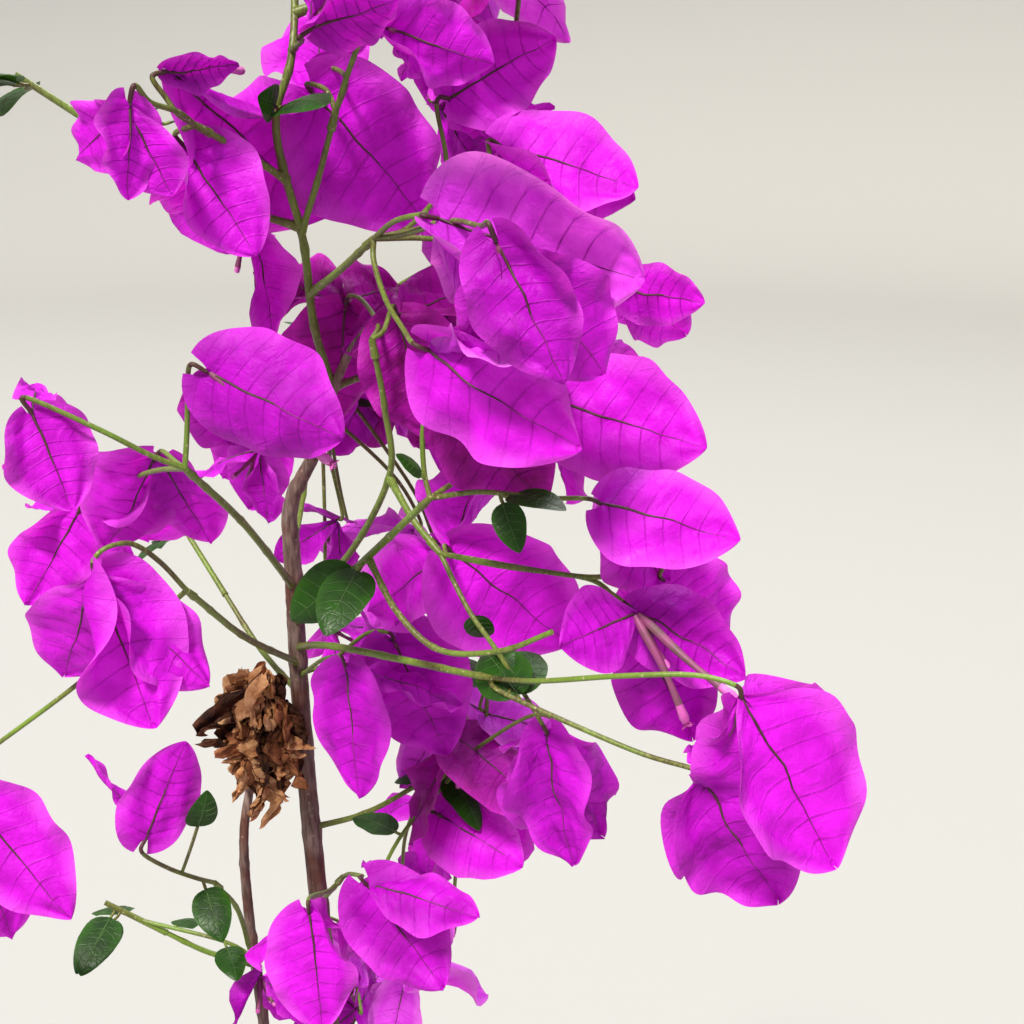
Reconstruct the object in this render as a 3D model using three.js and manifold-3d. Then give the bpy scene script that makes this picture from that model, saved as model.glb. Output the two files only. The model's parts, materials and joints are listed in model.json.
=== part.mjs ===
// A young bougainvillea, trained upright, in its round plastic nursery pot. Millimetres, +Z up. The origin is
// the middle of the pot's flat underside, and the plant's face looks along -Y. A slender woody trunk and a
// thinner side stem rise from the potting mix. Green boughs leave them, and each bough ends in a mass: twigs
// whose hooked stalks each carry a spray of three papery bracts, and a few small leaves.

import * as THREE from 'three';
import { mergeVertices } from 'three/addons/utils/BufferGeometryUtils.js';
import Module from 'manifold-3d';

const wasm = await Module();
wasm.setup();

// Driving dimensions

const GAP = 0.3; // clearance between neighbouring pieces
const SLACK = 0.9; // share of that clearance that still counts as clear
const SAME = 1e-4; // how close two corners of a turned body lie to be one
const PAST = 1; // how far a cutting shape passes what it cuts
const UP = new THREE.Vector3(0, 0, 1);

const POT = {
  height: 190, rimRadius: 105, baseRadius: 78, wall: 2.6, floor: 3, bandHeight: 24, bandStep: 3.5, lip: 1.5,
  sides: 36, drains: 6, drainRadius: 6, drainRing: 54, drainSides: 10,
};
const SOIL = { below: 28, flatRadius: 36, rim: 0.5, rings: 3, ripple: 0.8, waves: [3, 5] };

// ridge is a blade's thickness on its midrib, bow and cup how far it arches along and across, flick how far
// its tip turns back, and sections the shares of its length that have a section.
const BRACT = { ridge: 1.1, bow: 0.04, cup: 0.06, flick: 0.05, sections: [0.5, 0.8] };
const SMALL_BRACT = { ridge: 1.1, bow: 0, cup: 0.04, flick: 0.05, sections: [0.52] };
const LEAF = { ridge: 0.7, bow: 0.05, cup: 0.2, flick: 0, sections: [0.42] };
const WITHERED = { ridge: 1.2, bow: 0.1, cup: 0.5, flick: -0.15, sections: [0.35, 0.72] };
// The powers of a blade's outline, which is round at its base and drawn to a point.
const OUTLINE = { base: 0.5, point: 0.75 };
const LEAF_WIDTH = 0.62;
const SPRAY = {
  turns: [0, 124, 236], shrink: 0.12, narrow: 0.9, stagger: 12, open: [0.9, 1.2], neck: 4,
  hubRadius: 1.4, hubHalf: 0.9,
};
const STALK = { foot: 0.9, tip: 0.7 };
const FLOWER = { length: 0.6, foot: 0.8, tip: 1.3, sides: 3, off: 1 };
const STEM = { foot: 1.15, tip: 0.85, sides: 4, length: 2.5, fromLimb: 3 };
const STEPS = 2; // points along a limb for each span of its route
const SWELL = [1, 0.35]; // how much of a stem's flare its first two points have

// The crown from its foot to its top: a height, how far right of the trunk its middle is there, and its
// radius.
const CROWN = [
  [395, 0, 34], [480, 0, 52], [600, 0, 62], [700, 4, 70], [760, 10, 92], [820, 20, 114],
  [900, 28, 102], [960, 32, 90], [1040, 26, 80], [1110, 20, 56], [1165, 16, 16],
];

// Where the plant is looked at from: how far right of the trunk, in front of it and above the ground the eye
// is, how far down it looks, and the picture's focal length and middle in its own dots. A place on the plant
// is given as [column, row, y]: the line of sight through that dot of the picture, met at that distance
// behind the trunk.
const SIGHT = { right: 66, front: 356, height: 980, down: 20.4, focal: 1268, middle: 512 };

const SOIL_TOP = POT.height - SOIL.below;
const FOOT = SOIL_TOP + GAP;

// The stems and boughs that the picture shows. route has sight places, and rise and top plain places below
// and above the picture. r is the radius at the foot and at the tip, and from names what a limb grows out of.
const LIMBS = [
  {
    name: 'trunk', r: [5.2, 1.5], sides: 8, flare: 1.9, bark: true,
    rise: [
      [0, 0, FOOT], [1, 1, FOOT + 12], [2, 2, FOOT + 46], [3, 3, 300], [-3, 2, 480], [2, -1, 640], [-1, 1, 760],
    ],
    route: [[293, 570, -3], [291, 505, -6], [313, 455, -10], [333, 388, -15]],
  },
  {
    name: 'side_stem', r: [2.8, 1.3], sides: 6, flare: 1.6, bark: true,
    rise: [[-24, 6, FOOT], [-24, 6, FOOT + 12], [-25, 6, FOOT + 50], [-27, 4, 380], [-20, 7, 540]],
    route: [[262, 1010, -5], [249, 915, -6], [244, 835, -8], [253, 770, -4]],
  },
  {
    name: 'leader', from: 'trunk', r: [1.45, 1.0], sides: 6,
    route: [
      [333, 388, -15], [314, 325, -22], [303, 240, -31], [283, 168, -38], [276, 115, -42], [292, 52, -40],
    ],
    top: [[14, -28, 1000], [10, -18, 1050], [15, -12, 1108]],
  },
  { name: 'cut_spur', from: 'leader', r: [1.3, 1.0], sides: 6, bark: true,
    route: [[333, 388, -15], [350, 352, -19], [366, 330, -24]] },
  { name: 'bough_upper_right', from: 'leader', r: [1.25, 1.05], sides: 6,
    route: [[311, 293, -25], [340, 270, -38], [369, 243, -51]] },
  { name: 'bough_upper_left', from: 'leader', r: [1.15, 0.9], sides: 6,
    route: [[287, 180, -37], [240, 150, -50], [204, 130, -59]] },
  { name: 'bough_top', from: 'leader', r: [1.1, 0.85], sides: 6,
    route: [[305, 232, -31], [320, 172, -39], [333, 122, -44]] },
  { name: 'bough_left', from: 'trunk', r: [1.4, 1.1], sides: 6,
    route: [[300, 588, -3], [245, 525, -40], [190, 473, -66]] },
  { name: 'bough_lower_left', from: 'trunk', r: [1.35, 1.05], sides: 6,
    route: [[296, 662, 0], [245, 637, -36], [191, 594, -64]] },
  { name: 'bough_middle_right', from: 'trunk', r: [1.4, 1.1], sides: 6,
    route: [[297, 622, -1], [352, 572, -44], [425, 503, -73]] },
  { name: 'cut_runner', from: 'bough_middle_right', r: [1.1, 0.8], sides: 6,
    route: [[369, 561, -52], [398, 613, -66], [440, 650, -76], [500, 651, -84], [552, 632, -92]] },
  { name: 'bough_riser', from: 'trunk', r: [1.3, 0.9], sides: 6,
    route: [[294, 600, -2], [346, 558, -22], [389, 477, -40], [385, 410, -44], [374, 350, -46]] },
  { name: 'bough_cross', from: 'bough_riser', r: [1.2, 1.0], sides: 6,
    route: [[392, 480, -41], [412, 518, -46], [434, 546, -52]] },
  { name: 'bough_lower_right', from: 'trunk', r: [1.45, 1.15], sides: 6,
    route: [[296, 645, 0], [338, 647, -30], [484, 677, -72]] },
  { name: 'bough_foot_left', from: 'side_stem', r: [1.15, 0.85], sides: 6,
    route: [[259, 985, -5], [240, 915, -22], [218, 886, -34]] },
  { name: 'bough_foot_right', from: 'trunk', r: [1.2, 0.95], sides: 6,
    route: [[307, 960, 0], [318, 912, -24], [340, 880, -38]] },
];

// The masses that the picture shows, each on a limb's tip, or beside the limb where at gives the place. A
// spray has its stalk's route, which ends at the knot that the three bracts grow from, and the tip of its
// leading bract. turn rolls that bract about its midrib from facing the eye, inside marks one whose inner
// face shows, wide is its width over its length, and spread opens the three. A leaf is its foot, its tip and
// its roll.
const SEEN_MASSES = [
  { name: 'mass_lower_right', on: 'bough_lower_right', sprays: [
    { stalk: [[540, 681, -90], [620, 676, -105], [692, 675, -113], [737, 703, -117]], tip: [830, 868, -124],
      turn: -14, wide: 0.88, spread: 30 },
    { stalk: [[498, 690, -78], [560, 719, -88], [640, 753, -98], [704, 780, -104]], tip: [778, 894, -106],
      turn: 24, wide: 0.9, spread: 32 },
  ], leaves: [[[500, 664, -78], [530, 700, -86], 20], [[497, 655, -78], [480, 692, -88], -30]] },
  { name: 'mass_riser', on: 'bough_riser', sprays: [
    { stalk: [[384, 330, -44], [398, 318, -36]], tip: [440, 436, -34], turn: 12, wide: 0.84, spread: 44 },
    { stalk: [[378, 324, -34], [362, 300, -14], [346, 306, -4]], tip: [330, 424, 4],
      turn: -14, wide: 0.84, spread: 44 },
  ], leaves: [] },
  { name: 'mass_right', on: 'bough_cross', sprays: [
    { stalk: [[500, 566, -66], [585, 578, -76], [606, 592, -80], [634, 612, -84]], tip: [744, 670, -92],
      turn: 30, wide: 0.74, spread: 48, inside: true, flowers: 3 },
    { stalk: [[588, 577, -77], [620, 562, -76], [640, 553, -74], [662, 563, -72], [665, 582, -69]],
      tip: [728, 640, -58], turn: -10, wide: 0.9, spread: 34 },
    { stalk: [[468, 609, -64], [495, 648, -70], [518, 684, -74], [548, 736, -78]], tip: [570, 862, -80],
      turn: 52, wide: 0.84, spread: 32 },
    { stalk: [[446, 556, -40], [452, 552, -30]], tip: [566, 642, -22], turn: -6, wide: 0.9, spread: 46 },
  ], leaves: [[[470, 612, -64], [489, 640, -58], 20]] },
  { name: 'mass_middle_right', on: 'bough_middle_right', sprays: [
    { stalk: [[480, 492, -80], [545, 498, -84], [603, 505, -86]], tip: [740, 541, -92],
      turn: -24, wide: 0.9, spread: 36 },
    { stalk: [[424, 470, -72], [423, 428, -72], [433, 400, -74], [446, 396, -77], [456, 404, -79]],
      tip: [546, 500, -76], turn: 34, wide: 0.88, spread: 34 },
    { stalk: [[470, 470, -66], [520, 420, -58], [557, 402, -58]], tip: [703, 450, -64],
      turn: -8, wide: 0.86, spread: 38 },
  ], leaves: [
    [[500, 492, -81], [566, 508, -92], -46], [[500, 494, -81], [520, 553, -88], 12],
    [[437, 470, -72], [400, 468, -76], 30],
  ] },
  { name: 'mass_leaf_pair', on: 'bough_middle_right', at: [352, 572, -44], toward: [350, 563, -52],
    sprays: [],
    leaves: [[[350, 563, -52], [325, 634, -72], 16], [[350, 563, -52], [290, 622, -50], 0]] },
  { name: 'mass_upper_right', on: 'bough_upper_right', sprays: [
    { stalk: [[395, 221, -66], [425, 214, -78], [442, 218, -86]], tip: [610, 358, -98],
      turn: 28, wide: 0.84, spread: 44 },
    { stalk: [[405, 234, -64], [450, 221, -86], [478, 224, -100], [495, 243, -108]], tip: [560, 396, -110],
      turn: -8, wide: 0.8, spread: 30 },
    { stalk: [[374, 262, -56], [386, 300, -66], [404, 330, -80], [430, 351, -92]], tip: [580, 452, -108],
      turn: 46, wide: 0.72, spread: 34 },
    { stalk: [[410, 226, -46], [446, 176, -32], [450, 98, -26]], tip: [556, 38, -22],
      turn: -10, wide: 0.8, spread: 42 },
    { stalk: [[440, 220, -46], [486, 168, -38], [503, 148, -36]], tip: [637, 190, -40],
      turn: -26, wide: 0.84, spread: 38 },
    { stalk: [[440, 240, -50], [540, 262, -44], [608, 278, -40], [622, 290, -38]], tip: [704, 300, -38],
      turn: 16, wide: 0.84, spread: 40 },
  ], leaves: [] },
  { name: 'mass_left', on: 'bough_left', sprays: [
    { stalk: [[150, 455, -72], [100, 430, -77], [52, 407, -80], [32, 404, -80], [31, 413, -80]],
      tip: [70, 511, -84], turn: -12, wide: 0.95, spread: 34 },
    { stalk: [[187, 430, -68], [188, 392, -70], [196, 374, -73], [207, 372, -76]], tip: [346, 438, -86],
      turn: 14, wide: 0.86, spread: 38 },
    { stalk: [[150, 476, -54], [96, 494, -40], [76, 516, -34]], tip: [28, 604, -30],
      turn: 10, wide: 0.88, spread: 40 },
    { stalk: [[176, 462, -54], [156, 456, -38]], tip: [112, 546, -26], turn: -16, wide: 0.88, spread: 42 },
  ], leaves: [] },
  { name: 'mass_lower_left', on: 'bough_lower_left', sprays: [
    { stalk: [[160, 562, -72], [132, 544, -78], [106, 548, -82], [98, 574, -83]], tip: [150, 722, -92],
      turn: -16, wide: 0.84, spread: 36 },
    { stalk: [[130, 640, -58], [70, 690, -62], [0, 742, -66], [-46, 776, -68], [-34, 798, -70]],
      tip: [72, 912, -74], turn: 20, wide: 0.8, spread: 38 },
  ], leaves: [] },
  { name: 'mass_upper_left', on: 'bough_upper_left', sprays: [
    { stalk: [[178, 114, -66], [166, 98, -66], [162, 82, -66], [168, 71, -64]], tip: [237, 60, -56],
      turn: 50, wide: 0.7, spread: 30, bracts: 2 },
    { stalk: [[178, 112, -68], [150, 100, -74], [128, 104, -80]], tip: [124, 204, -80],
      turn: -12, wide: 0.8, spread: 44 },
    { stalk: [[190, 136, -56], [186, 150, -50]], tip: [248, 255, -50],
      turn: 12, wide: 0.86, spread: 60 },
  ], leaves: [] },
  { name: 'mass_top', on: 'bough_top', sprays: [
    { stalk: [[352, 62, -50], [366, 38, -51], [385, 28, -50]], tip: [506, 60, -46],
      turn: 16, wide: 0.84, spread: 34 },
    { stalk: [[326, 90, -40], [314, 96, -34]], tip: [424, 214, -20],
      turn: 6, wide: 0.82, spread: 50 },
    { stalk: [[346, 80, -42], [332, 68, -30], [318, 74, -22]], tip: [404, 124, -8],
      turn: 20, wide: 0.84, spread: 40 },
  ], leaves: [] },
  { name: 'mass_leader_side', on: 'leader', at: [293, 50, -40], sprays: [
    { stalk: [[302, 40, -50], [313, 28, -56]], tip: [398, -6, -62], turn: 36, wide: 0.86, spread: 40 },
  ], leaves: [[[278, 112, -52], [262, 98, -58], 20], [[280, 112, -52], [322, 106, -62], -40]] },
  { name: 'mass_front', on: 'trunk', at: [300, 676, 0], sprays: [
    { stalk: [[322, 660, -18], [338, 656, -28], [346, 668, -34]], tip: [367, 795, -44],
      turn: 44, wide: 0.8, spread: 32 },
    { stalk: [[330, 662, -10], [366, 634, -14], [394, 642, -18]], tip: [446, 748, -18],
      turn: 8, wide: 0.9, spread: 38 },
  ], leaves: [] },
  { name: 'mass_foot_left', on: 'bough_foot_left', sprays: [
    { stalk: [[196, 878, -42], [168, 868, -52], [146, 838, -58]], tip: [184, 738, -50],
      turn: 20, wide: 0.76, spread: 34 },
  ], leaves: [[[216, 884, -42], [222, 940, -56], 6], [[205, 868, -48], [208, 800, -56], 8]] },
  { name: 'mass_foot_right', on: 'bough_foot_right', sprays: [
    { stalk: [[350, 874, -44], [362, 876, -52], [368, 886, -58]], tip: [444, 986, -68],
      turn: 12, wide: 0.8, spread: 44 },
    { stalk: [[330, 890, -44], [312, 896, -60], [309, 914, -68]], tip: [322, 1030, -78],
      turn: -8, wide: 0.8, spread: 32 },
  ], leaves: [] },
];

// The boughs that the picture doesn't show stand in a spiral up the stems, and keep out of the front that it
// does show. Angles are in degrees round the plant, from +X towards +Y. Each mass spreads its sprays over its
// share of the crown, and every second one hangs nearer the stems. The last mass is the crown's top, on the
// leader's tip.
const SPIRAL = {
  count: 13, from: 436, to: 1036, start: 250, turn: 137.5, climb: 26, sag: 0.35, reach: 0.44,
  foot: 1.3, tip: 0.95, front: 270, frontHalf: 88, frontFrom: 620, frontTo: 1010,
  sideStemTo: 700, sideStemHalf: 60, leaderFrom: 885,
};
const GROWTH = {
  seed: [31, 7], sprays: 1, spraysPerRadius: 0.045, round: 46, tall: 56, lift: 14, swing: 50, scatter: 12,
  outer: 1, inner: 0.7, hang: 0.8, least: 10, stem: 0.3, hook: 9, hookAt: 0.25,
  bract: 38, bractWide: 0.82, droop: 38, sway: 50, roll: 120, spread: 42,
  leaves: 3, leafSize: 24, leafFrom: 0.3, leafRound: 200, leafRise: 0.2, leafFall: 0.8, leafRoll: 40,
};
const CROWN_TOP = { number: 14, angle: 0, height: 1094, round: 180, tall: 44, sprays: 4 };

// The clump of withered leaves that hangs on the trunk: its middle as a sight place, the half sizes of its
// core in X, Y and Z, and the crumpled blades that stand out of it.
const CLUMP = {
  seed: 7, middle: [270, 744, -9], half: [9, 7, 22], sides: 8, rings: 4, blades: 11, from: 95, sweep: 250,
  length: [20.8, 31.2], sink: 5, wide: 0.85, fall: [1.25, 0.25], roll: 90,
};

// Fusing may move a surface by the first of these to save faces, corners closer than merge become one, and
// corners of two parts that touch are drawn apart.
const FUSE = { simplify: [0.12, 0.1, 0.08, 0.16, 0.05, 0.2], merge: 0.004, draw: 0.03 };

const FINISH = {
  plastic: { color: 0x1c1e24, roughness: 0.45, metalness: 0 },
  mix: { color: 0x3b2d23, roughness: 1, metalness: 0 },
  bark: { color: 0x6d4f42, roughness: 0.85, metalness: 0 },
  green: { color: 0x6f9436, roughness: 0.5, metalness: 0 },
  bract: { color: 0xc92ad6, roughness: 0.6, metalness: 0 },
  withered: { color: 0x9c6a44, roughness: 0.9, metalness: 0 },
};

// Places and lines

const vector = (place) => new THREE.Vector3(...place);
const radians = THREE.MathUtils.degToRad;

function seen([column, row, y]) {
  const down = radians(SIGHT.down);
  const across = (column - SIGHT.middle) / SIGHT.focal;
  const below = (row - SIGHT.middle) / SIGHT.focal;
  const ahead = Math.cos(down) - below * Math.sin(down);
  const reach = (y + SIGHT.front) / ahead;
  return new THREE.Vector3(
    SIGHT.right + reach * across,
    y,
    SIGHT.height - reach * (Math.sin(down) + below * Math.cos(down)),
  );
}

// A repeatable stream of numbers from 0 to 1.
function stream(seed) {
  let state = seed * 7919 + 17;
  return () => {
    state = (state * 48271) % 2147483647;
    return state / 2147483647;
  };
}

// A smooth line through some places.
function smooth(places) {
  return new THREE.CatmullRomCurve3(places, false, 'catmullrom', 0.5).getPoints((places.length - 1) * STEPS);
}

// Radii along a limb: an even taper, with the foot of a stem flared into the soil.
function taper([foot, tip], count, flare = 1) {
  return Array.from({ length: count }, (_, i) => {
    const swell = 1 + (flare - 1) * (SWELL[i] ?? 0);
    return (foot + ((tip - foot) * i) / (count - 1)) * swell;
  });
}

function headingAt(points) {
  return points.at(-1).clone().sub(points.at(-2)).normalize();
}

// The nearest place to a point on any of some lines of points.
function nearestOn(lines, point) {
  const spots = lines.flatMap((line) => line.slice(1).map((end, i) => {
    return new THREE.Line3(line[i], end).closestPointToPoint(point, true, new THREE.Vector3());
  }));
  return spots.reduce((a, b) => (b.distanceTo(point) < a.distanceTo(point) ? b : a));
}

// The way a blade's outer face looks when it faces the eye, rolled about the blade by turn.
function facing(base, tip, turn, inside) {
  const eye = new THREE.Vector3(SIGHT.right, -SIGHT.front, SIGHT.height);
  return rolled(base, tip, eye.sub(base), turn, inside);
}

function rolled(base, tip, look, turn, inside = false) {
  const along = tip.clone().sub(base).normalize();
  const face = look.clone().addScaledVector(along, -look.dot(along)).normalize();
  face.applyAxisAngle(along, radians(turn));
  return inside ? face.negate() : face;
}

// Closed shapes

function closed(positions, index) {
  const geometry = new THREE.BufferGeometry();
  geometry.setAttribute('position', new THREE.Float32BufferAttribute(positions, 3));
  geometry.setIndex(index);
  return geometry;
}

// A tapering limb along a line of points, with a radius for each point.
function limbGeometry(points, radii, sides, firstHeading) {
  const positions = [];
  const index = [];
  let side = null;
  points.forEach((point, i) => {
    const before = points[Math.max(i - 1, 0)];
    const after = points[Math.min(i + 1, points.length - 1)];
    const heading = after.clone().sub(before).normalize();
    if (i === 0 && firstHeading) heading.copy(firstHeading);
    side ??= Math.abs(heading.x) < 0.9 ? new THREE.Vector3(1, 0, 0) : new THREE.Vector3(0, 1, 0);
    side = side.clone().addScaledVector(heading, -side.dot(heading)).normalize();
    const other = heading.clone().cross(side);
    for (let k = 0; k < sides; k++) {
      const angle = (2 * Math.PI * k) / sides;
      const dot = point.clone()
        .addScaledVector(side, radii[i] * Math.cos(angle))
        .addScaledVector(other, radii[i] * Math.sin(angle));
      positions.push(dot.x, dot.y, dot.z);
    }
  });
  const corner = (i, k) => i * sides + (k % sides);
  for (let i = 0; i + 1 < points.length; i++) {
    for (let k = 0; k < sides; k++) {
      index.push(corner(i, k), corner(i, k + 1), corner(i + 1, k + 1));
      index.push(corner(i, k), corner(i + 1, k + 1), corner(i + 1, k));
    }
  }
  const last = points.length - 1;
  for (let k = 1; k + 1 < sides; k++) {
    index.push(corner(0, 0), corner(0, k + 1), corner(0, k));
    index.push(corner(last, 0), corner(last, k), corner(last, k + 1));
  }
  return closed(positions, index);
}

// Half the width of a bract or leaf of width 1 at a share t of its length.
function halfWidth(t) {
  const { base, point } = OUTLINE;
  const outline = (share) => share ** base * (1 - share) ** point;
  return (0.5 * outline(t)) / outline(base / (base + point));
}

// A place on a blade: a share t along it, across from its midrib, and lifted off it.
function bladePoint({ base, along, out, length }, form, t, across, lift) {
  const arch = length * (form.bow * 4 * t * (1 - t) + form.flick * t ** 3);
  return base.clone().addScaledVector(along, t * length).addScaledVector(along.clone().cross(out), across)
    .addScaledVector(out, lift + arch);
}

// A blade's section: its outer ridge, one edge, its inner ridge and the other edge.
function ringOf(blade, form, t) {
  const half = blade.width * blade.length * halfWidth(t);
  const edge = -form.cup * half;
  const at = (across, lift) => bladePoint(blade, form, t, across, lift);
  return [at(0, form.ridge / 2), at(half, edge), at(0, -form.ridge / 2), at(-half, edge)];
}

// A leaf: a blade thick on its midrib, sharp at its edge and pointed at both ends.
function bladeGeometry(blade, form) {
  const rows = form.sections.map((t) => ringOf(blade, form, t));
  const points = [bladePoint(blade, form, 0, 0, 0), ...rows.flat(), bladePoint(blade, form, 1, 0, 0)];
  const index = [];
  const corner = (row, k) => 1 + row * 4 + (k % 4);
  for (let k = 0; k < 4; k++) {
    index.push(0, corner(0, k + 1), corner(0, k));
    for (let row = 0; row + 1 < rows.length; row++) {
      index.push(corner(row, k), corner(row, k + 1), corner(row + 1, k + 1));
      index.push(corner(row, k), corner(row + 1, k + 1), corner(row + 1, k));
    }
    index.push(points.length - 1, corner(rows.length - 1, k), corner(rows.length - 1, k + 1));
  }
  return closed(points.flatMap((point) => point.toArray()), index);
}

// A slender flower tube, which stands on its bract's inner side.
function flowerGeometry({ base, along, out, length, axis }) {
  const lean = along.clone().add(axis).normalize();
  const end = base.clone().addScaledVector(lean, length * FLOWER.length).addScaledVector(out, -FLOWER.off);
  return limbGeometry([base, end], [FLOWER.foot, FLOWER.tip], FLOWER.sides);
}

// A body of revolution about +Z from a closed profile of [radius, height] points.
function turnedGeometry(profile, sides) {
  const geometry = new THREE.LatheGeometry(profile.map(([r, z]) => new THREE.Vector2(r, z)), sides);
  geometry.rotateX(Math.PI / 2);
  geometry.deleteAttribute('normal');
  geometry.deleteAttribute('uv');
  return mergeVertices(geometry, SAME);
}

// Solids

function solidOf(geometry) {
  const mesh = new wasm.Mesh({
    numProp: 3,
    vertProperties: new Float32Array(geometry.getAttribute('position').array),
    triVerts: new Uint32Array(geometry.getIndex().array),
  });
  return new wasm.Manifold(mesh);
}

function geometryOf(solid) {
  const mesh = solid.getMesh();
  return closed(Array.from(mesh.vertProperties), Array.from(mesh.triVerts));
}

// Cutting and fusing can leave scraps, and only the main piece is kept.
function largest(solid) {
  return solid.decompose().reduce((a, b) => (b.volume() > a.volume() ? b : a));
}

// Solids joined into one, by the first choice that leaves no two of its edges on each other.
function fused(solids) {
  const joined = largest(wasm.Manifold.union(solids));
  const choices = FUSE.simplify.map((amount) => {
    const simple = largest(joined.simplify(amount));
    return drawnApart(largest(solidOf(mergeVertices(geometryOf(simple), FUSE.merge))));
  });
  return choices.find(isPlain) ?? choices[0];
}

const cornerOf = (attribute, i) => new THREE.Vector3().fromBufferAttribute(attribute, i);
const labelOf = (attribute, i) => cornerOf(attribute, i).toArray().map((n) => n.toFixed(3)).join();

// Where two parts of a solid touch in a corner, each part's corner is drawn a little way into that part.
function drawnApart(solid) {
  const geometry = geometryOf(solid);
  geometry.computeVertexNormals();
  const position = geometry.getAttribute('position');
  const normal = geometry.getAttribute('normal');
  const places = new Map();
  for (let i = 0; i < position.count; i++) {
    const label = labelOf(position, i);
    places.set(label, [...(places.get(label) ?? []), i]);
  }
  for (const corners of places.values()) {
    if (corners.length < 2) continue;
    for (const i of corners) {
      position.setXYZ(i, ...cornerOf(position, i).addScaledVector(cornerOf(normal, i), -FUSE.draw));
    }
  }
  return largest(solidOf(geometry));
}

// True if no two of a solid's edges lie on each other.
function isPlain(solid) {
  const geometry = geometryOf(solid);
  const position = geometry.getAttribute('position');
  const index = geometry.getIndex().array;
  const edges = new Set();
  for (let i = 0; i < index.length; i += 3) {
    for (let k = 0; k < 3; k++) {
      const edge = labelOf(position, index[i + k]) + ' ' + labelOf(position, index[i + ((k + 1) % 3)]);
      if (edges.has(edge)) return false;
      edges.add(edge);
    }
  }
  return true;
}

// Every solid that is in place, with the name of the piece that it belongs to.
const placed = [];
const place = (solid, owner) => placed.push({ owner, solid, box: solid.boundingBox() });

// True if a solid keeps its clearance to every piece but its own.
function isClear(solid, owner) {
  const box = solid.boundingBox();
  const apart = (other) => box.min.some((low, k) => {
    return low - GAP > other.max[k] || box.max[k] + GAP < other.min[k];
  });
  return placed.every((other) => {
    return other.owner === owner || apart(other.box) || solid.minGap(other.solid, 2 * GAP) > GAP * SLACK;
  });
}

// Stems and boughs

const limbs = new Map();

function makeLimb({ name, from, r, sides, flare, bark, rise = [], route, top = [] }) {
  const dots = [...rise.map(vector), ...route, ...top.map(vector)];
  if (from) dots[0] = nearestOn([limbs.get(from).points], dots[0]);
  const points = smooth(dots);
  const radii = taper(r, points.length, flare);
  const firstHeading = rise.length ? UP : null;
  let solid = solidOf(limbGeometry(points, radii, sides, firstHeading));
  if (from) solid = largest([...limbs.values()].reduce((rest, { room }) => rest.subtract(room), solid));
  const room = solidOf(limbGeometry(points, radii.map((radius) => radius + GAP), sides, firstHeading));
  limbs.set(name, { name, points, radii, solid, room, bark, tip: points.at(-1), heading: headingAt(points) });
  place(solid, name);
}

// A limb's radius where it passes nearest to a place.
function radiusAt({ points, radii }, near) {
  const nearest = points.reduce((best, point, i) => {
    return point.distanceTo(near) < points[best].distanceTo(near) ? i : best;
  }, 0);
  return radii[nearest];
}

// The stem that a bough at a height and angle leaves, and where: low on the left it is the side stem, and the
// leader carries on from the trunk.
function stemAt(height, angle) {
  const left = height < SPIRAL.sideStemTo && Math.abs(angle - 180) < SPIRAL.sideStemHalf;
  const name = left ? 'side_stem' : height < SPIRAL.leaderFrom ? 'trunk' : 'leader';
  const { points } = limbs.get(name);
  const i = Math.max(1, points.findIndex((point) => point.z >= height));
  const [a, b] = [points[i - 1], points[i]];
  return { name, place: a.clone().lerp(b, (height - a.z) / (b.z - a.z)) };
}

// The crown at a height: how far right its middle is, and its radius.
function crownAt(height) {
  const i = Math.min(Math.max(CROWN.findIndex(([z]) => z >= height), 1), CROWN.length - 1);
  const [low, high] = [CROWN[i - 1], CROWN[i]];
  const share = Math.min(Math.max((height - low[0]) / (high[0] - low[0]), 0), 1);
  return { middle: low[1] + (high[1] - low[1]) * share, radius: low[2] + (high[2] - low[2]) * share };
}

const outwards = (degrees) => new THREE.Vector3(Math.cos(radians(degrees)), Math.sin(radians(degrees)), 0);

// The spiral's places: a height, and an angle that is moved round to the side where the picture shows the
// front.
function spiralPlaces() {
  return Array.from({ length: SPIRAL.count }, (_, i) => {
    const height = SPIRAL.from + ((SPIRAL.to - SPIRAL.from) * i) / (SPIRAL.count - 1);
    const angle = (SPIRAL.start + SPIRAL.turn * i) % 360;
    const offFront = ((angle - SPIRAL.front + 540) % 360) - 180;
    const shown = height > SPIRAL.frontFrom && height < SPIRAL.frontTo;
    if (!shown || Math.abs(offFront) >= SPIRAL.frontHalf) return { number: i + 1, height, angle };
    const side = offFront === 0 ? 180 : Math.sign(offFront) * SPIRAL.frontHalf;
    return { number: i + 1, height, angle: SPIRAL.front + side };
  });
}

function spiralLimb({ number, height, angle }) {
  const { name, place: foot } = stemAt(height, angle);
  const out = outwards(angle).multiplyScalar(SPIRAL.reach * crownAt(height).radius);
  const rise = Math.tan(radians(SPIRAL.climb)) * out.length();
  const middle = foot.clone().addScaledVector(out, 0.5).addScaledVector(UP, rise * SPIRAL.sag);
  const tip = foot.clone().add(out).addScaledVector(UP, rise);
  return {
    name: 'bough_' + String(number).padStart(2, '0'), from: name, r: [SPIRAL.foot, SPIRAL.tip], sides: 5,
    route: [foot, middle, tip],
  };
}

// Masses

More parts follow.
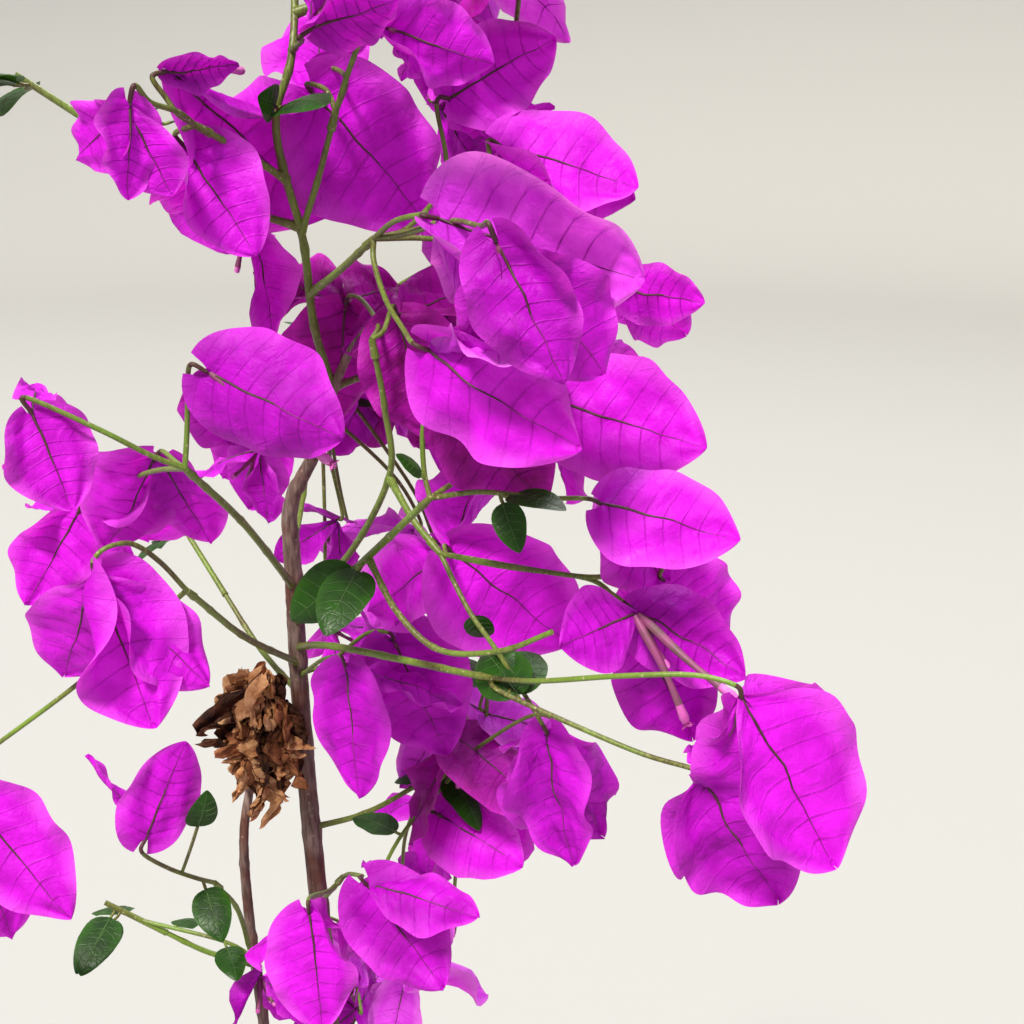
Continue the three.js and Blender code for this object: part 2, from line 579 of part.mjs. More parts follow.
// What a mass that the picture shows is made of.
function seenMass({ name, on, at, toward, sprays, leaves }) {
  const limb = limbs.get(on);
  const start = at ? nearestOn([limb.points], seen(at)) : limb.tip.clone().addScaledVector(limb.heading, GAP);
  const heading = at ? seen(toward ?? sprays[0].stalk[0]).sub(start).normalize() : limb.heading;
  const length = at ? radiusAt(limb, start) + STEM.fromLimb : STEM.length;
  const node = start.clone().addScaledVector(heading, length);
  return {
    name, on, form: BRACT, stem: [start, node],
    sprays: sprays.map(({ stalk, tip, turn, inside, ...rest }) => {
      const line = [node, ...stalk.map(seen)];
      const end = seen(tip);
      return { line, tip: end, out: facing(line.at(-1), end, turn, inside), flowers: 0, ...rest };
    }),
    leaves: leaves.map(([foot, tip, turn]) => {
      const [base, end] = [seen(foot), seen(tip)];
      return { base, tip: end, out: facing(base, end, turn) };
    }),
  };
}

// What a mass on a spiral bough is made of: its sprays lie over its share of the crown like seeds on a disc.
function spiralMass({ number, height, angle }) {
  const name = String(number).padStart(2, '0');
  return grownMass('mass_' + name, limbs.get('bough_' + name), { ...GROWTH, number, height, angle });
}

function crownTopMass() {
  return grownMass('mass_crown_top', limbs.get('leader'), { ...GROWTH, ...CROWN_TOP });
}

function grownMass(name, limb, { number, height, angle, round, tall, ...habit }) {
  const random = stream(number * habit.seed[0] + habit.seed[1]);
  const about = (amount) => amount * (random() - 0.5);
  const start = limb.tip.clone().addScaledVector(limb.heading, GAP);
  const end = start.clone().addScaledVector(limb.heading, habit.stem * crownAt(height).radius);
  const count = Math.round(habit.sprays + habit.spraysPerRadius * crownAt(height).radius);
  const sprays = Array.from({ length: count }, (_, k) => {
    const share = Math.sqrt((k + 0.5) / count);
    const swing = radians(k * SPIRAL.turn + number * habit.swing);
    const z = height + habit.lift + tall * share * Math.sin(swing) + about(habit.scatter);
    const way = angle + round * share * Math.cos(swing) + about(habit.scatter);
    const crown = crownAt(z);
    const out = crown.radius * (k % 2 ? habit.inner : habit.outer) - habit.bract * habit.hang;
    const knot = outwards(way).multiplyScalar(Math.max(out, habit.least)).add(vector([crown.middle, 0, z]));
    const fall = radians(habit.droop + about(habit.sway));
    const lead = outwards(way + about(habit.sway)).multiplyScalar(Math.cos(fall));
    lead.addScaledVector(UP, -Math.sin(fall));
    const tip = knot.clone().addScaledVector(lead, habit.bract);
    const node = start.clone().lerp(end, (k + 1) / count);
    const bend = knot.clone().lerp(node, habit.hookAt).addScaledVector(UP, habit.hook);
    const look = outwards(way).add(UP);
    return {
      line: [node, bend, knot], tip, out: rolled(knot, tip, look, about(habit.roll)),
      wide: habit.bractWide, spread: habit.spread, flowers: 0,
    };
  });
  const leaves = Array.from({ length: habit.leaves }, () => {
    const base = start.clone().lerp(end, habit.leafFrom + (1 - habit.leafFrom) * random());
    const way = outwards(angle + about(habit.leafRound));
    way.addScaledVector(UP, habit.leafRise - habit.leafFall * random()).normalize();
    const tip = base.clone().addScaledVector(way, habit.leafSize);
    return { base, tip, out: rolled(base, tip, UP, about(habit.leafRoll)) };
  });
  return { name, on: limb.name, form: SMALL_BRACT, stem: [start, end], sprays, leaves };
}

// The bracts of a spray, from its leading one: they stand round the stalk's line at about even turns.
function bractsOf({ line, tip, out, spread, wide, bracts = 3 }, random) {
  const knot = line.at(-1);
  const lead = tip.clone().sub(knot);
  const length = lead.length();
  const along = lead.normalize();
  const open = radians(spread);
  const axis = along.clone().multiplyScalar(Math.cos(open)).addScaledVector(out, -Math.sin(open));
  const radial = along.clone().multiplyScalar(Math.sin(open)).addScaledVector(out, Math.cos(open));
  line.splice(-1, 0, knot.clone().addScaledVector(axis, -SPRAY.neck));
  return SPRAY.turns.slice(0, bracts).map((turn, i) => {
    const stagger = i === 0 ? 0 : (random() - 0.5) * SPRAY.stagger;
    const turned = radial.clone().applyAxisAngle(axis, radians(turn + stagger));
    const [least, most] = SPRAY.open;
    const opened = open * (i === 0 ? 1 : least + (most - least) * random());
    return {
      base: knot,
      along: axis.clone().multiplyScalar(Math.cos(opened)).addScaledVector(turned, Math.sin(opened)),
      out: turned.clone().multiplyScalar(Math.cos(opened)).addScaledVector(axis, -Math.sin(opened)),
      length: length * (i === 0 ? 1 : 1 - SPRAY.shrink * random()),
      width: wide * (i === 0 ? 1 : SPRAY.narrow),
      axis, turned,
    };
  });
}

// A spray as one closed shape: its three-sided stalk widens to a hub at the knot, with a bract on each side
// of that.
function sprayGeometry(line, bracts, form) {
  const { base: knot, axis, turned } = bracts[0];
  const positions = [];
  const index = [];
  const add = (point) => positions.push(point.x, point.y, point.z) / 3 - 1;
  const ways = SPRAY.turns.map((turn, i) => {
    const next = SPRAY.turns[i + 1] ?? 360;
    return turned.clone().applyAxisAngle(axis, radians((turn + next) / 2));
  });
  const ring = (middle, radius, rise = 0) => ways.map((way) => {
    return add(middle.clone().addScaledVector(way, radius).addScaledVector(axis, rise));
  });
  const high = ring(knot, SPRAY.hubRadius, SPRAY.hubHalf);
  const low = ring(knot, SPRAY.hubRadius, -SPRAY.hubHalf);
  index.push(high[0], high[1], high[2]);
  SPRAY.turns.forEach((_, i) => {
    const before = (i + 2) % 3;
    const root = [low[before], low[i], high[i], high[before]];
    if (!bracts[i]) {
      index.push(root[0], root[1], root[2], root[0], root[2], root[3]);
      return;
    }
    const rows = form.sections.map((t) => ringOf(bracts[i], form, t).map(add));
    const tip = add(bladePoint(bracts[i], form, 1, 0, 0));
    for (let k = 0; k < 4; k++) {
      const next = (k + 1) % 4;
      index.push(root[k], root[next], rows[0][k], root[next], rows[0][next], rows[0][k]);
      for (let r = 0; r + 1 < rows.length; r++) {
        index.push(rows[r][k], rows[r][next], rows[r + 1][next]);
        index.push(rows[r][k], rows[r + 1][next], rows[r + 1][k]);
      }
      index.push(rows.at(-1)[k], rows.at(-1)[next], tip);
    }
  });
  let after = low;
  for (let p = line.length - 2; p >= 0; p--) {
    const heading = line[p + 1].clone().sub(line[Math.max(p - 1, 0)]).normalize();
    ways.forEach((way) => way.addScaledVector(heading, -way.dot(heading)).normalize());
    const here = ring(line[p], STALK.foot + ((STALK.tip - STALK.foot) * p) / (line.length - 1));
    for (let k = 0; k < 3; k++) {
      const next = (k + 1) % 3;
      index.push(here[k], here[next], after[next], here[k], after[next], after[k]);
    }
    after = here;
  }
  index.push(after[0], after[2], after[1]);
  return closed(positions, index);
}

// One mass as a single solid. Its stem keeps clear of its bough, and a spray or leaf that isn't clear of
// every other piece is skipped, or keeps its leading bract alone.
function makeMass({ name, on, form, stem, sprays, leaves }, seed) {
  const random = stream(seed);
  const lines = [stem];
  const stemSolid = solidOf(limbGeometry(stem, taper([STEM.foot, STEM.tip], stem.length), STEM.sides));
  const kept = [largest(stemSolid.subtract(limbs.get(on).room))];
  const keep = (geometries) => {
    const solids = geometries.map(solidOf);
    const clear = solids.every((solid) => isClear(solid, name));
    if (clear) kept.push(...solids);
    return clear;
  };
  for (const spray of sprays) {
    const bracts = bractsOf(spray, random);
    const flowers = bracts.slice(0, spray.flowers).map(flowerGeometry);
    const whole = [sprayGeometry(spray.line, bracts, form), ...flowers];
    const plain = [sprayGeometry(spray.line, bracts.slice(0, 1), form)];
    if (keep(whole) || keep(plain)) lines.push(spray.line);
  }
  for (const { base, tip, out } of leaves) {
    const foot = nearestOn(lines, base);
    const lead = tip.clone().sub(foot);
    const along = lead.clone().normalize();
    keep([bladeGeometry({ base: foot, along, out, length: lead.length(), width: LEAF_WIDTH }, LEAF)]);
  }
  const solid = fused(kept);
  place(solid, name);
  return solid;
}

// Pot and potting mix

// The outside of the pot's plain wall at a height.
const wallRadius = (z) => {
  const top = POT.rimRadius - POT.bandStep;
  return POT.baseRadius + ((top - POT.baseRadius) * z) / POT.height;
};

function makePot() {
  const band = POT.height - POT.bandHeight;
  const inside = (z) => [wallRadius(z) - POT.wall, z];
  const shell = solidOf(turnedGeometry([
    [0, 0], [POT.baseRadius, 0], [wallRadius(band), band], [POT.rimRadius, band],
    [POT.rimRadius + POT.lip, POT.height], inside(POT.height), inside(POT.floor), [0, POT.floor],
  ], POT.sides));
  const drains = Array.from({ length: POT.drains }, (_, i) => {
    const angle = (2 * Math.PI * i) / POT.drains;
    const [low, high] = [-PAST, POT.floor + PAST];
    const profile = [[0, low], [POT.drainRadius, low], [POT.drainRadius, high], [0, high]];
    const hole = turnedGeometry(profile, POT.drainSides);
    hole.translate(POT.drainRing * Math.cos(angle), POT.drainRing * Math.sin(angle), 0);
    return solidOf(hole);
  });
  return shell.subtract(wasm.Manifold.union(drains));
}

// The potting mix fills the pot, flat round the stems and gently uneven towards the wall.
function makeMix() {
  const side = (z) => wallRadius(z) - POT.wall - GAP;
  const floor = POT.floor + GAP;
  const edge = side(SOIL_TOP) - SOIL.rim;
  const rings = Array.from({ length: SOIL.rings }, (_, i) => {
    return [edge + ((SOIL.flatRadius - edge) * i) / (SOIL.rings - 1), SOIL_TOP];
  });
  const geometry = turnedGeometry([[0, floor], [side(floor), floor], ...rings, [0, SOIL_TOP]], POT.sides);
  const position = geometry.getAttribute('position');
  for (let i = 0; i < position.count; i++) {
    const [x, y, z] = [position.getX(i), position.getY(i), position.getZ(i)];
    const beyond = (Math.hypot(x, y) - SOIL.flatRadius) / (edge - SOIL.flatRadius);
    if (z < SOIL_TOP - SOIL.rim || beyond < SOIL.rim) continue;
    const angle = Math.atan2(y, x);
    const wave = SOIL.waves.reduce((sum, count, k) => sum + Math.sin(count * angle + k + 2 * beyond), 0);
    position.setZ(i, z + SOIL.ripple * wave);
  }
  return solidOf(geometry);
}

// The withered clump

function makeClump(name) {
  const random = stream(CLUMP.seed);
  const between = ([from, to]) => from + (to - from) * random();
  const middle = seen(CLUMP.middle);
  const [width, depth, height] = CLUMP.half;
  const core = new THREE.SphereGeometry(1, CLUMP.sides, CLUMP.rings).rotateX(Math.PI / 2);
  core.scale(width, depth, height).translate(middle.x, middle.y, middle.z);
  core.deleteAttribute('normal');
  core.deleteAttribute('uv');
  let solid = solidOf(mergeVertices(core, SAME));
  for (const { room } of limbs.values()) solid = solid.subtract(room);
  const kept = [largest(solid)];
  for (let i = 0; i < CLUMP.blades; i++) {
    const rise = 1 - (2 * (i + 0.5)) / CLUMP.blades;
    const reach = Math.sqrt(1 - rise * rise);
    const out = outwards(CLUMP.from + ((SPIRAL.turn * i) % CLUMP.sweep));
    const way = out.clone().addScaledVector(UP, -between(CLUMP.fall)).normalize();
    const foot = new THREE.Vector3(out.x * width * reach, out.y * depth * reach, rise * height);
    const base = middle.clone().add(foot).addScaledVector(way, -CLUMP.sink);
    const length = between(CLUMP.length);
    const tip = base.clone().addScaledVector(way, length);
    const face = rolled(base, tip, out, CLUMP.roll * (random() - 0.5));
    const shape = { base, along: way, out: face, length, width: CLUMP.wide };
    const blade = solidOf(bladeGeometry(shape, WITHERED));
    if (isClear(blade, name)) kept.push(blade);
  }
  return fused(kept);
}

// The whole plant

const plant = new THREE.Group();

function show(name, solid, finish) {
  const mesh = new THREE.Mesh(geometryOf(solid), new THREE.MeshStandardMaterial(finish));
  mesh.name = name;
  plant.add(mesh);
}

show('pot', makePot(), FINISH.plastic);
show('potting_mix', makeMix(), FINISH.mix);

for (const limb of LIMBS) makeLimb({ ...limb, route: limb.route.map(seen) });
for (const spot of spiralPlaces()) makeLimb(spiralLimb(spot));
for (const { name, solid, bark } of limbs.values()) show(name, solid, bark ? FINISH.bark : FINISH.green);

const clump = makeClump('withered_clump');
place(clump, 'withered_clump');
show('withered_clump', clump, FINISH.withered);

const masses = [...SEEN_MASSES.map(seenMass), ...spiralPlaces().map(spiralMass), crownTopMass()];
masses.forEach((mass, i) => show(mass.name, makeMass(mass, i + 1), FINISH.bract));

export default plant;
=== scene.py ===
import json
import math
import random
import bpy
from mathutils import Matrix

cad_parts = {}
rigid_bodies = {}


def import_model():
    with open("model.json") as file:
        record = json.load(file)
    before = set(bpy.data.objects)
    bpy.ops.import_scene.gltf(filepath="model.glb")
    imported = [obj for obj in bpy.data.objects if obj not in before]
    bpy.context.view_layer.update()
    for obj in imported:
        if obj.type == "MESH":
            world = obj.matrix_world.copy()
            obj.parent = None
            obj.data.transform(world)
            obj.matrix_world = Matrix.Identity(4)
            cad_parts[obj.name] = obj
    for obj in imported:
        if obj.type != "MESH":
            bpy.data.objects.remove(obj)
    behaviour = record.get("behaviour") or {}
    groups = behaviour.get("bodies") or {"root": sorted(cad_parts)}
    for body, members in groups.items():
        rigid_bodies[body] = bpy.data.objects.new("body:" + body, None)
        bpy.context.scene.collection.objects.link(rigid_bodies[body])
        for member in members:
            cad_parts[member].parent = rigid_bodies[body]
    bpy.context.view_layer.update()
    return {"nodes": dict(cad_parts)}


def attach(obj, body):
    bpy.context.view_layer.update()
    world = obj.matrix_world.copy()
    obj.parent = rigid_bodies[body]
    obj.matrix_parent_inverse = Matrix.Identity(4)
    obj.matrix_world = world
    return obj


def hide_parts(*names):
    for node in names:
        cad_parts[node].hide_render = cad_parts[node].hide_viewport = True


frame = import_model()

# A young bougainvillea in its round nursery pot. Sizes and places are millimetres in the frame's own axes,
# and MM turns them into Blender's metres. Stems, boughs and sprays grow by the same rule as the solids,
# carried on here to bark, hooked stalks, veined bracts, flower tubes and leaves.

from types import SimpleNamespace as Sizes

import bpy
import numpy as np
from mathutils import Vector
from mathutils.bvhtree import BVHTree

MM = 0.001
FULL_TURN = 2 * math.pi
UP = np.array([0.0, 0.0, 1.0])

# Driving sizes

GAP = 0.3
POT = Sizes(
    height=190, rim_radius=105, base_radius=78, wall=2.6, floor=3, band_height=24, band_step=3.5, lip=1.5,
    recess=1.2, corner=1.1, low_bead=14, high_bead=12, bead=0.8, bead_half=2,
)
SOIL = Sizes(
    below=28, flat_radius=36, ripple=0.8, waves=(3, 5), lumps=(17, 9.5, 5.3, 3.1), lump_rise=0.05,
    lump_shift=1.7, lump_rate=(2, 2.3), ring_spread=0.9, chamfer=4,
)
SOIL_TOP = POT.height - SOIL.below
FOOT = SOIL_TOP + GAP

# The outline of every blade, and a leaf's shape: its stalk is a share of its length.
OUTLINE = Sizes(base=0.42, point=0.75)
LEAF_SHAPE = Sizes(
    width=0.66, stalk=0.16, stalk_radius=0.5, sag=0.3, midrib_end=0.94, midrib=(0.3, 0.08), pairs=5,
    vein=(0.11, 0.05),
)

# How the three bracts of a spray stand: their turns about its line and how far they open, with ranges that
# chance picks from. heels are the widths of their rounded bases, on either side, as shares of their length.
SPRAY = Sizes(
    turns=(0, 124, 236), shrink=0.12, narrow=0.9, stagger=12, open=(0.9, 1.2), neck=4, clear=1.3, behind=0.9,
    lobe=0.03, heels=((), (0.8, 1.4), (1.4, 0.8)), heel=(0.75, 0.75),
)
STALK = Sizes(foot=0.7, tip=0.55, neck=(0.95, 0.85, 0.75))

# A mass's stem, then what every limb has: points along each span, and swollen nodes and a collar at its root.
STEM = Sizes(
    foot=1.15, tip=0.85, length=2.5, from_limb=3, inside=2,
    steps=12, stagger=7, node=1.4, collar=0.35, collar_length=3.2,
)
SWELL = (1, 0.35)  # how much of its flare a stem's first rings have
RIDGE = Sizes(rate=(0.6, 1.4), wander=0.8, slower=0.37)  # how bark's ridges wander
BARK = dict(
    woody_bark=Sizes(share=1, sides=22, spacing=31, swell=0.16, ridges=(3, 5, 8, 13), length=9),
    green_bark=Sizes(share=0.8, sides=12, spacing=23, swell=0.17, ridges=(3, 5), length=14, depth=0.05),
)

# The crown, foot to top: a height, how far right of the trunk its middle is there, and its radius.
CROWN = [
    [395, 0, 34], [480, 0, 52], [600, 0, 62], [700, 4, 70], [760, 10, 92], [820, 20, 114],
    [900, 28, 102], [960, 32, 90], [1040, 26, 80], [1110, 20, 56], [1165, 16, 16],
]

# The eye: how far right of the trunk, in front of it and above the ground it is, how far down it looks, and
# the picture's side, focal length and middle in its own dots. A sight place is [column, row, y]: the line of
# sight through that dot of the picture, met at that distance behind the trunk.
SIGHT = Sizes(right=66, front=356, height=980, down=20.4, focal=1268, side=1024)

# How far left and right the crown reaches in the picture, row by row. Beyond that the picture is open, and so
# it is in the gaps: column, row and radius.
REACH = [
    [0, 270, 560], [30, 270, 560], [40, 140, 560], [100, 70, 645], [210, 90, 645], [225, 165, 655],
    [330, 150, 710], [380, -40, 710], [450, -40, 745], [560, 0, 745], [640, 20, 775], [730, 40, 775],
    [770, 80, 700], [850, 90, 610], [890, 130, 560], [1024, 150, 500],
]
GAPS = [
    [130, 415, 36], [215, 560, 40], [200, 690, 28], [270, 860, 36], [500, 930, 48], [640, 335, 24],
    [165, 985, 40],
]
REACH_MARGIN = 20

# The stems and boughs that the picture shows. route has sight places, and rise and top plain places below and
# above the picture. r is the radius at the foot and at the tip, parent names what a limb grows out of, and
# bark is the relief's depth on a woody limb, as a share of its radius.
LIMBS = [
    dict(
        name="trunk", r=[5.2, 1.5], flare=1.9, bark=0.13,
        rise=[
            [0, 0, FOOT], [1, 1, FOOT + 12], [2, 2, FOOT + 46], [3, 3, 300], [-3, 2, 480], [2, -1, 640],
            [-1, 1, 760],
        ],
        route=[[293, 570, -3], [291, 505, -6], [313, 455, -10], [333, 388, -15]],
    ),
    dict(
        name="side_stem", r=[2.8, 1.3], flare=1.6, bark=0.13,
        rise=[[-24, 6, FOOT], [-24, 6, FOOT + 12], [-25, 6, FOOT + 50], [-27, 4, 380], [-20, 7, 540]],
        route=[[262, 1010, -5], [249, 915, -6], [244, 835, -8], [253, 770, -4]],
    ),
    dict(
        name="leader", parent="trunk", r=[1.45, 1.0],
        route=[
            [333, 388, -15], [314, 325, -22], [303, 240, -31], [283, 168, -38], [276, 115, -42],
            [292, 52, -40],
        ],
        top=[[14, -28, 1000], [10, -18, 1050], [15, -12, 1108]],
    ),
    dict(
        name="cut_spur", parent="leader", r=[1.3, 1.0], bark=0.07,
        route=[[333, 388, -15], [350, 352, -19], [366, 330, -24]],
    ),
    dict(
        name="bough_upper_right", parent="leader", r=[1.25, 1.05],
        route=[[311, 293, -25], [340, 270, -38], [369, 243, -51]],
    ),
    dict(
        name="bough_upper_left", parent="leader", r=[1.15, 0.9],
        route=[[287, 180, -37], [240, 150, -50], [204, 130, -59]],
    ),
    dict(
        name="bough_top", parent="leader", r=[1.1, 0.85],
        route=[[305, 232, -31], [320, 172, -39], [333, 122, -44]],
    ),
    dict(
        name="bough_left", parent="trunk", r=[1.4, 1.1],
        route=[[300, 588, -3], [245, 525, -40], [190, 473, -66]],
    ),
    dict(
        name="bough_lower_left", parent="trunk", r=[1.35, 1.05],
        route=[[296, 662, 0], [245, 637, -36], [191, 594, -64]],
    ),
    dict(
        name="bough_middle_right", parent="trunk", r=[1.4, 1.1],
        route=[[297, 622, -1], [352, 572, -44], [425, 503, -73]],
    ),
    dict(
        name="cut_runner", parent="bough_middle_right", r=[1.1, 0.8],
        route=[[369, 561, -52], [398, 613, -66], [440, 650, -76], [500, 651, -84], [552, 632, -92]],
    ),
    dict(
        name="bough_riser", parent="trunk", r=[1.3, 0.9],
        route=[[294, 600, -2], [346, 558, -22], [389, 477, -40], [385, 410, -44], [374, 350, -46]],
    ),
    dict(
        name="bough_cross", parent="bough_riser", r=[1.2, 1.0],
        route=[[392, 480, -41], [412, 518, -46], [434, 546, -52]],
    ),
    dict(
        name="bough_lower_right", parent="trunk", r=[1.45, 1.15],
        route=[[296, 645, 0], [338, 647, -30], [484, 677, -72]],
    ),
    dict(
        name="bough_foot_left", parent="side_stem", r=[1.15, 0.85],
        route=[[259, 985, -5], [240, 915, -22], [218, 886, -34]],
    ),
    dict(
        name="bough_foot_right", parent="trunk", r=[1.2, 0.95],
        route=[[307, 960, 0], [318, 912, -24], [340, 880, -38]],
    ),
]

